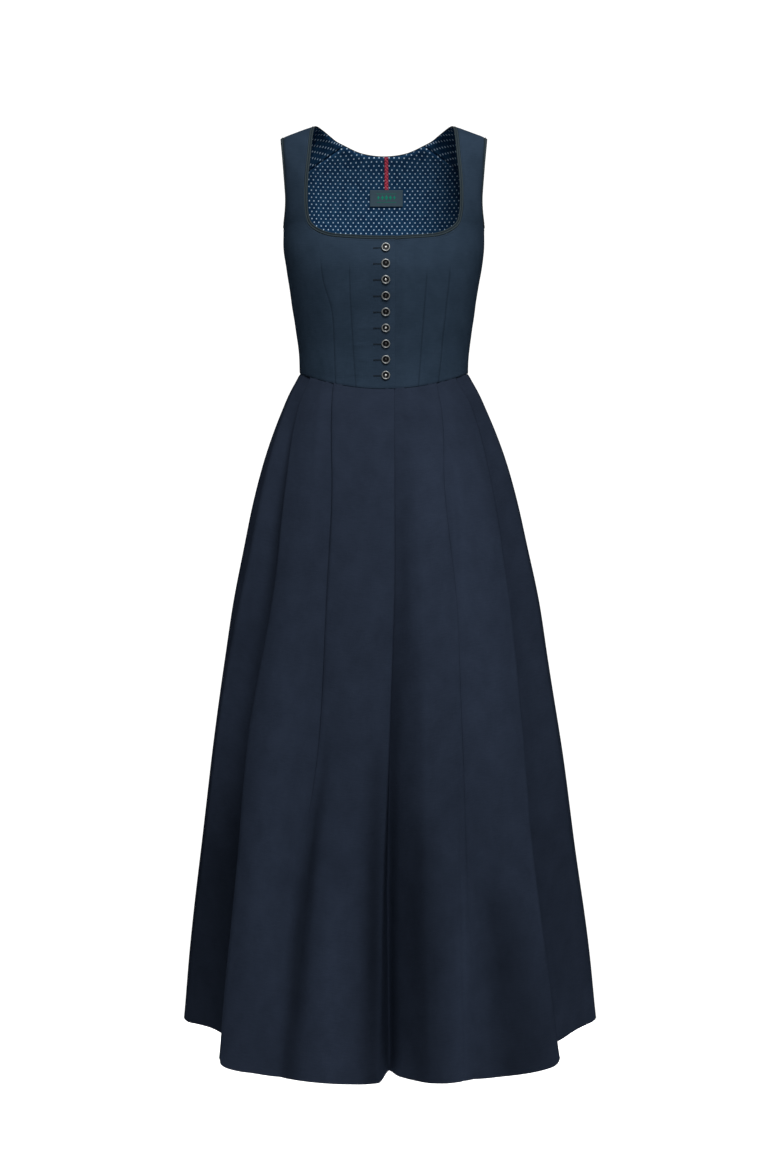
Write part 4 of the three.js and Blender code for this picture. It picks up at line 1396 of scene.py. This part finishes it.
skirt_length = HEM_DROP - WAIST_DROP_SIDE
skirt_down = graded(skirt_length, SKIRT_ROW_FINE, SKIRT_ROW)
skirt_sheet, skirt_seams = skirt_grid(skirt_down, SKIRT_SPACING, SKIRT_LEAST)

FRONT_REACH = 60  # over this depth the hollows and the painted shade fade in towards the front
SIDE_SLANT = 0.8  # the side of the skirt begins where the depth is this share of the width
SIDE_SLANT_FADE = 0.12
BACK_SLANT = -0.35
BACK_SLANT_FADE = 0.3
SIDE_SHADE_DROP = 830
SIDE_SHADE_FADE = 300
DEEPEST_SHADE = 0.8

# The hem sinks where it runs in under the front folds: how far, its middle and reach from the centre, and
# where it fades in and out in depth.
HEM_SINK = 4.5
HEM_SINK_X = 258
HEM_SINK_REACH = 28
HEM_SINK_FROM = 40
HEM_SINK_FADE = 60
HEM_SINK_TO = 212
HEM_SINK_END = 12


def strip_at(rows, columns, point):
    """A strip's size at points, as its table gives it, and how much of it reaches each point."""
    x, size, right, left = [
        column_at(rows, columns, "drop", name, -point[..., 2]) for name in columns[1:]
    ]
    away = point[..., 0] - x
    return size, bell(away / np.where(away < 0, right, left))


def hollow_depth(point):
    """How far the soft hollows press the front of the skirt in."""
    total = np.zeros(point.shape[:-1])
    for rows in HOLLOWS:
        depth, reach = strip_at(rows, HOLLOW_COLUMNS, point)
        total += np.maximum(depth, 0) * reach
    return total * smooth(-point[..., 1] / FRONT_REACH)


def fold_shade(point):
    """The painted shade in the wool's colour, from 0 to 1."""
    drop = -point[..., 2]
    total = np.zeros(drop.shape)
    for rows in SHADES:
        added, reach = strip_at(rows, SHADE_COLUMNS, point)
        total += np.where((drop > rows[0][0]) & (drop < rows[-1][0] + SHADE_END), added, 0) * reach
    slant = -point[..., 1] / np.maximum(np.abs(point[..., 0]), 1)
    beside = smooth((SIDE_SLANT - slant) / SIDE_SLANT_FADE)
    before = smooth((slant - BACK_SLANT) / BACK_SLANT_FADE)
    at_side = beside * before * smooth((drop - SIDE_SHADE_DROP) / SIDE_SHADE_FADE)
    at_side = at_side * np.where(point[..., 0] < 0, SIDE_SHADE_RIGHT, SIDE_SHADE_LEFT)
    in_front = smooth(-point[..., 1] / FRONT_REACH) * (1 - beside)
    return np.clip(MEAN_SHADE + total * in_front + at_side, 0, DEEPEST_SHADE)


def hem_corner_lift(point):
    """How far the hem rises at its rounded corners, and sinks where it runs in under the front folds."""
    lift = np.zeros(point.shape[:-1])
    for x, y, across, deep, height in HEM_CORNERS:
        away = np.hypot((point[..., 0] - x) / across, (point[..., 1] - y) / deep)
        lift += height * (1 - np.sqrt(1 - np.clip(1 - away, 0, 1) ** 2))
    beside = bell((np.abs(point[..., 0]) - HEM_SINK_X) / HEM_SINK_REACH)
    begun = smooth((-point[..., 1] - HEM_SINK_FROM) / HEM_SINK_FADE)
    ended = smooth((point[..., 1] + HEM_SINK_TO) / HEM_SINK_END)
    return lift - HEM_SINK * beside * begun * ended


skirt_sheet[..., 1] += hollow_depth(skirt_sheet)
from_waist = (skirt_down * skirt_length)[:, None]

all_round = np.arange(-180, 180, 0.25)
waist_outline = skirt_outline(all_round, np.zeros(len(all_round)))
set_back = np.linalg.norm(skirt_sheet[0, :, None, :2] - waist_outline, axis=-1).min(axis=1)
rise_inside = WAIST_RISE * smooth((set_back - WAIST_RISE_FROM) / WAIST_RISE_OVER)
skirt_sheet[..., 2] += rise_inside * (1 - smooth(from_waist / WAIST_RISE_RUN))
from_hem = ((1 - skirt_down) * skirt_length)[:, None]
skirt_sheet[..., 2] += hem_corner_lift(skirt_sheet[-1]) * np.exp(-from_hem / HEM_CORNER_RUN)
skirt_shade = fold_shade(skirt_sheet)
skirt_normal = grid_normals(skirt_sheet)

# The cloth is turned in at the waist seam, and it is never quite even, in tall, slow waves.
TURN_IN = 0.5
TURN_IN_WIDTH = 1.3
FULL_BELOW = 0.15
FULL_BELOW_DROP = 5
FULL_BELOW_WIDTH = 3
SKIRT_NOISE = dict(height=0.8, wavelength=90)
SKIRT_NOISE_SHAPE = (1.3, 0.22)
SKIRT_NOISE_FROM = 60
HEM_STEP = 1.5

lift = -TURN_IN * bell(from_waist / TURN_IN_WIDTH)
lift = lift + FULL_BELOW * bell((from_waist - FULL_BELOW_DROP) / FULL_BELOW_WIDTH)
waves = uneven(skirt_sheet[..., 0] * SKIRT_NOISE_SHAPE[0], skirt_sheet[..., 2] * SKIRT_NOISE_SHAPE[1],
               SKIRT_SEED, **SKIRT_NOISE)
lift = lift + smooth(from_waist / SKIRT_NOISE_FROM) * waves
skirt_sheet = skirt_sheet + skirt_normal * lift[..., None]
skirt_normal = grid_normals(skirt_sheet)

hem_end = quarter(from_hem / HEM_ROUND)
inside_hem = 1 + HEM_ALLOWANCE_SHARE * smooth((HEM_ALLOWANCE - from_hem) / HEM_STEP)
face = np.broadcast_to(SKIRT_CLOTH / 2 * hem_end, skirt_sheet.shape[:2])
behind = np.broadcast_to(-SKIRT_CLOTH / 2 * hem_end * inside_hem, skirt_sheet.shape[:2])

skirt_parts = []
skirt_words = ("back_right", "front_right", "front_left", "back_left")
for word, first, last in zip(skirt_words, skirt_seams, skirt_seams[1:]):
    # Each end of the cloth is turned in behind its seam.
    point = skirt_sheet[:, first : last + 1]
    normal = skirt_normal[:, first : last + 1]
    turned_in = [point[:, [i]] - normal[:, [i]] * SEAM_ALLOWANCE for i in (0, -1)]
    point = np.concatenate([turned_in[0], point, turned_in[1]], axis=1)
    normal = np.concatenate([normal[:, :1], normal, normal[:, -1:]], axis=1)
    across = lengths(point)
    up = lengths(point.swapaxes(0, 1)).swapaxes(0, 1)
    middle = point.shape[1] // 2
    columns = [first] + list(range(first, last + 1)) + [last]
    # The third cloth number carries the painted shade of the folds and the sides.
    shaded = skirt_shade[:, columns]
    cloth = np.stack([across - across[:, middle : middle + 1], -up, shaded], axis=-1)
    for a, b in ((1, 2), (-2, -3)):
        aside = unit(point[:, b] - point[:, a]) * SEAM_GAP / 2
        point[:, a] = point[:, a] + aside
        normal[:, a] = unit(normal[:, a] - aside / SEAM_GAP * 2)
    for a, b in ((0, 1), (-1, -2)):
        facing = unit(point[:, a + (2 if a == 0 else -2)] - point[:, b])
        point[:, a] = point[:, a] + facing * (SEAM_GAP / 2 + SKIRT_CLOTH / 2)
        normal[:, a] = -facing
    block = dict(point=point, normal=normal, cloth=cloth, face=face[:, columns], behind=behind[:, columns])
    part = shell("pleated_" + word, [block], "face", "behind")
    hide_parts("skirt_" + word)
    skirt_parts.append(part)

# ---- materials


def new_material(name):
    material = bpy.data.materials.new(name)
    material.use_nodes = True
    tree = material.node_tree
    return material, tree, tree.nodes["Principled BSDF"]


def connect(tree, socket, value):
    if isinstance(value, bpy.types.NodeSocket):
        tree.links.new(value, socket)
    else:
        socket.default_value = value


def shade(tree, kind, inputs, **settings):
    """A node with its settings and inputs. An input is a number, a colour or another node's output."""
    made = tree.nodes.new(kind)
    for key, value in settings.items():
        setattr(made, key, value)
    for key, value in inputs.items():
        connect(tree, made.inputs[key], value)
    return made


def maths(tree, operation, *values):
    made = shade(tree, "ShaderNodeMath", dict(enumerate(values)), operation=operation)
    return made.outputs[0]


def vector_maths(tree, operation, first, second):
    return shade(tree, "ShaderNodeVectorMath", {0: first, 1: second}, operation=operation).outputs[0]


def cloth_axes(tree):
    """The flat cloth's coordinates in millimetres, together and apart: across, up and a third number."""
    place = shade(tree, "ShaderNodeAttribute", {}, attribute_name="cloth")
    scaled = vector_maths(tree, "MULTIPLY", place.outputs["Vector"], (1 / MM, 1 / MM, 1 / MM))
    split = shade(tree, "ShaderNodeSeparateXYZ", {0: scaled})
    return scaled, split.outputs[0], split.outputs[1], split.outputs[2]


def streaks(tree, place, across, up, seed):
    """Noise drawn out along one direction of the cloth. across and up are its sizes in millimetres."""
    scaled = vector_maths(tree, "MULTIPLY", place, (1 / across, 1 / up, 0))
    moved = vector_maths(tree, "ADD", scaled, (seed, seed * 1.7, seed * 0.3))
    noise = shade(tree, "ShaderNodeTexNoise", {"Vector": moved, "Scale": 1, "Detail": 2})
    return noise.outputs["Fac"]


def scaled_fac(tree, value, low, high, out_low=0, out_high=1):
    """A value's place between low and high, which may fall, as a place between the outer two."""
    made = shade(tree, "ShaderNodeMapRange", {"Value": value, "From Min": low, "From Max": high,
                                              "To Min": out_low, "To Max": out_high})
    return made.outputs["Result"]


def mixed(tree, share, first, second):
    made = shade(tree, "ShaderNodeMix", {}, data_type="RGBA")
    for key, value in (("Factor_Float", share), ("A_Color", first), ("B_Color", second)):
        connect(tree, next(s for s in made.inputs if s.identifier == key), value)
    return next(s for s in made.outputs if s.identifier == "Result_Color")


def rgb(*levels):
    """A colour given as sRGB levels of 0 to 255."""
    shares = [level / 255 for level in levels]
    linear = [c / 12.92 if c <= 0.04045 else ((c + 0.055) / 1.055) ** 2.4 for c in shares]
    return (*linear, 1)


def finish_surface(surface, roughness, specular, metallic=0.0):
    surface.inputs["Roughness"].default_value = roughness
    surface.inputs["Specular IOR Level"].default_value = specular
    surface.inputs["Metallic"].default_value = metallic


def raise_surface(tree, surface, height):
    """Raises a surface by a height in millimetres."""
    metres = maths(tree, "MULTIPLY", height, MM)
    bumped = shade(tree, "ShaderNodeBump", {"Height": metres, "Strength": 1, "Distance": 1})
    tree.links.new(bumped.outputs[0], surface.inputs["Normal"])


# Colours of hollows, as shares of light: painted shade in creases and folds, painted shadow along the
# lining's seams, and the tarnish in the buttons' rings.
PAINTED_SHADE_BLACK = (0.001, 0.0015, 0.002, 1)
SEAM_SHADOW_BLACK = (0.001, 0.003, 0.006, 1)
TARNISH = (0.008, 0.008, 0.01, 1)

WEAVE = 0.9  # the weave's pitch in millimetres
WEAVE_HEIGHT = 0.03
SLUB_HEIGHT = 0.1
CREASE_NARROWNESS = 0.9  # a dart's painted crease shade has faded to 1 / e where its distance squared is one by this
CREASE_SHADE_SHARE = 0.3


def woven(name, dark, light, has_darts):
    """Matt cloth with a plain weave, thick threads here and there, and slightly mottled colour.

    Its third cloth number is the distance from a dart, which paints a line of crease shade, or else the
    painted shade itself."""
    material, tree, surface = new_material(name)
    place, across, up, third = cloth_axes(tree)
    mottle = streaks(tree, place, across=28, up=40, seed=4)
    fine = streaks(tree, place, across=9, up=1.3, seed=9)
    upright = streaks(tree, place, across=1.5, up=14, seed=6)
    mixed_tone = maths(tree, "MULTIPLY_ADD", fine, 0.35, maths(tree, "MULTIPLY", mottle, 0.5))
    tone = maths(tree, "MULTIPLY_ADD", upright, 0.15, mixed_tone)
    colour = mixed(tree, scaled_fac(tree, tone, 0.3, 0.7), dark, light)
    shaded = third
    if has_darts:
        squared = maths(tree, "MULTIPLY", third, third)
        crease = maths(tree, "EXPONENT", maths(tree, "MULTIPLY", squared, -CREASE_NARROWNESS))
        shaded = maths(tree, "MULTIPLY", crease, CREASE_SHADE_SHARE)
    # Painted shade: the colour darkens along a dart's crease, or by the skirt's painted fold shade.
    colour = mixed(tree, shaded, colour, PAINTED_SHADE_BLACK)
    tree.links.new(colour, surface.inputs["Base Color"])
    wave_a = maths(tree, "SINE", maths(tree, "MULTIPLY", across, math.tau / WEAVE))
    wave_b = maths(tree, "SINE", maths(tree, "MULTIPLY", up, math.tau / WEAVE))
    weave = maths(tree, "MULTIPLY", maths(tree, "MULTIPLY", wave_a, wave_b), WEAVE_HEIGHT)
    slubs = maths(tree, "MULTIPLY", maths(tree, "ADD", fine, upright), SLUB_HEIGHT)
    raise_surface(tree, surface, maths(tree, "ADD", weave, slubs))
    finish_surface(surface, roughness=0.9, specular=0)
    return material


DOT_PITCH = 8.0
DOT_ROW = 5.4
DOT_RADIUS = 1.05
DOT_BLUR = 0.15
LINING_SEAM_NEAR = 0.5  # a lining's seam has painted shadow up to here, and it fades out by the next
LINING_SEAM_FAR = 1.3
LINING_SEAM_SHADE = 0.8


def printed(name):
    """Blue cotton with small pale dots, every other row half a pitch along."""
    material, tree, surface = new_material(name)
    place, across, up, seam = cloth_axes(tree)
    row = maths(tree, "DIVIDE", up, DOT_ROW)
    number = maths(tree, "FLOOR", row)
    column = maths(tree, "MULTIPLY_ADD", number, 0.5, maths(tree, "DIVIDE", across, DOT_PITCH))
    aside = maths(tree, "MULTIPLY", maths(tree, "SUBTRACT", maths(tree, "FRACT", column), 0.5), DOT_PITCH)
    above = maths(tree, "MULTIPLY", maths(tree, "SUBTRACT", maths(tree, "FRACT", row), 0.5), DOT_ROW)
    squares = maths(tree, "MULTIPLY_ADD", aside, aside, maths(tree, "MULTIPLY", above, above))
    distance = maths(tree, "SQRT", squares)
    dot = scaled_fac(tree, distance, DOT_RADIUS + DOT_BLUR, DOT_RADIUS - DOT_BLUR)
    cloud = scaled_fac(tree, streaks(tree, place, across=8, up=8, seed=2), 0.3, 0.7)
    ground = mixed(tree, cloud, rgb(20, 47, 77), rgb(32, 66, 97))
    colour = mixed(tree, dot, ground, rgb(182, 208, 232))
    # Painted shadow along the lining's seams.
    sewn = scaled_fac(tree, seam, LINING_SEAM_FAR, LINING_SEAM_NEAR, 0, LINING_SEAM_SHADE)
    colour = mixed(tree, sewn, colour, SEAM_SHADOW_BLACK)
    tree.links.new(colour, surface.inputs["Base Color"])
    finish_surface(surface, roughness=0.8, specular=0)
    return material


def plain(name, colour, roughness, specular=0.15):
    material, _, surface = new_material(name)
    surface.inputs["Base Color"].default_value = colour
    finish_surface(surface, roughness, specular)
    return material


TWIST_HEIGHT = 0.08


def corded(name, dark, light, pitch, groove=None):
    """Twisted cord: slanting ridges along its length. A groove colour is painted shade for where there is no
    cord.
    """
    material, tree, surface = new_material(name)
    _, along, around, ridge = cloth_axes(tree)
    slant = maths(tree, "ADD", along, around)
    wave = maths(tree, "SINE", maths(tree, "MULTIPLY", slant, math.tau / pitch))
    colour = mixed(tree, maths(tree, "MULTIPLY_ADD", wave, 0.5, 0.5), dark, light)
    if groove:
        colour = mixed(tree, scaled_fac(tree, ridge, 0, 0.5), groove, colour)
    tree.links.new(colour, surface.inputs["Base Color"])
    raise_surface(tree, surface, maths(tree, "MULTIPLY", wave, TWIST_HEIGHT))
    finish_surface(surface, roughness=0.75, specular=0.2)
    return material


# Where a button is bright: radii across its ring and its boss, and heights up its boss, each a fade. The
# boss's colour is a painted highlight or painted shade.
RING_IN = (4.3, 4.6)
RING_OUT = (6.35, 6.05)
BOSS_OUT = (1.75, 1.4)
BOSS_UP = (1.4, 1.9)
WORN_SILVER = (0.36, 0.38, 0.38, 1)


def aged_metal(name, boss):
    """Antique silver: bright where it is worn, nearly black in the hollow of the ring, with a boss colour
    given, a painted highlight or painted shade.
    """
    material, tree, surface = new_material(name)
    _, radius, height, _ = cloth_axes(tree)
    ring = maths(tree, "MULTIPLY", scaled_fac(tree, radius, *RING_IN), scaled_fac(tree, radius, *RING_OUT))
    top = maths(tree, "MULTIPLY", scaled_fac(tree, radius, *BOSS_OUT), scaled_fac(tree, height, *BOSS_UP))
    colour = mixed(tree, top, mixed(tree, ring, TARNISH, WORN_SILVER), boss)
    tree.links.new(colour, surface.inputs["Base Color"])
    finish_surface(surface, roughness=0.4, specular=0.5, metallic=0.6)
    return material


bodice_material = woven("bodice_wool", rgb(42, 56, 71), rgb(52, 67, 84), has_darts=True)
skirt_material = woven("skirt_wool", rgb(42, 50, 65), rgb(50, 59, 76), has_darts=False)
lining_material = printed("dotted_cotton")
# The piping's groove colour is painted shade beside and between its cords.
piping_material = corded("piping_satin", rgb(46, 59, 66), rgb(61, 73, 77), pitch=1.1,
                         groove=rgb(32, 44, 52))
tape_material = corded("red_cord", rgb(140, 30, 56), rgb(245, 100, 124), pitch=1.3)
label_material = plain("label_satin", rgb(66, 86, 98), roughness=0.6)
motif_material = plain("label_thread", rgb(24, 136, 112), roughness=0.6)
thread_material = plain("navy_thread", (0.01, 0.017, 0.026, 1), roughness=0.6)
stitch_material = plain("edge_thread", (0.014, 0.022, 0.03, 1), roughness=0.6)
# Lit and shaded copies of one silver: the boss carries a painted highlight or painted shade.
boss_highlight_metal = aged_metal("silver_painted_boss_highlight", (0.85, 0.85, 0.82, 1))
boss_shade_metal = aged_metal("silver_painted_boss_shade", (0.06, 0.06, 0.06, 1))


def paint(objects, material):
    for obj in objects:
        obj.data.materials.append(material)


paint(bodice, bodice_material)
paint(skirt_parts, skirt_material)
paint(linings, lining_material)
paint(pipings, piping_material)
paint(stitches, stitch_material)
paint(hole_threads, thread_material)
for number, button in enumerate(button_objects, 1):
    paint([button], boss_highlight_metal if number in HIGHLIT_BOSSES else boss_shade_metal)
paint([label], label_material)
paint(motifs, motif_material)
paint(tape_strands, tape_material)

# ---- floor, light and camera

FLOOR_Z = -1.6
FLOOR_RADIUS = 1.0
FLOOR_SIDES = 96
floor_turns = np.arange(FLOOR_SIDES) * math.tau / FLOOR_SIDES
floor_ring = [(FLOOR_RADIUS * math.cos(a), FLOOR_RADIUS * math.sin(a), FLOOR_Z) for a in floor_turns]
floor_mesh = bpy.data.meshes.new("floor")
floor_mesh.from_pydata(floor_ring, [], [list(range(FLOOR_SIDES))])
floor_mesh.materials.append(plain("pale_floor", (0.9, 0.9, 0.9, 1), roughness=0.9))
in_scene(bpy.data.objects.new("floor", floor_mesh))

# The studio is dim, with a white wall behind the dress.
WALL_LIGHT = 1.1
STUDIO_LIGHT = 0.14
WALL_FROM = 0.88  # the wall begins and is whole where a look's share of straight back is this
WALL_WHOLE = 0.94
world = bpy.data.worlds.new("studio")
bpy.context.scene.world = world
world.use_nodes = True
sky = world.node_tree.nodes["Background"]
look = shade(world.node_tree, "ShaderNodeTexCoord", {})
axes = shade(world.node_tree, "ShaderNodeSeparateXYZ", {0: look.outputs["Generated"]})
level = scaled_fac(world.node_tree, axes.outputs[1], WALL_FROM, WALL_WHOLE, STUDIO_LIGHT, WALL_LIGHT)
sky.inputs["Color"].default_value = (1, 1, 1, 1)
world.node_tree.links.new(level, sky.inputs["Strength"])


def light(name, kind, place, target, power, **settings):
    data = bpy.data.lights.new(name, kind)
    data.energy = power
    for key, value in settings.items():
        setattr(data, key, value)
    obj = in_scene(bpy.data.objects.new(name, data))
    obj.location = place
    obj.rotation_euler = (Vector(target) - Vector(place)).to_track_quat("-Z", "Y").to_euler()


light("key", "AREA", place=(0.44, -2.5, 1.95), target=(0, 0, -0.6), power=104, shape="DISK", size=1.5)
light("floor_light", "SPOT", place=(0, 3.2, -0.1), target=(0, 0.4, FLOOR_Z), power=1300,
      spot_size=math.radians(30), spot_blend=0.3, shadow_soft_size=0.3)

CAMERA_PLACE = (10.5, -3400, -416.5)
CAMERA_DOWN = 4.53  # degrees

camera_data = bpy.data.cameras.new("camera")
camera_data.sensor_fit = "VERTICAL"
camera_data.sensor_height = 36
camera_data.lens = 69.45
camera = in_scene(bpy.data.objects.new("camera", camera_data))
camera.location = [size * MM for size in CAMERA_PLACE]
camera.rotation_euler = (math.radians(90 - CAMERA_DOWN), 0, 0)
bpy.context.scene.camera = camera
bpy.context.scene.view_settings.view_transform = "Standard"
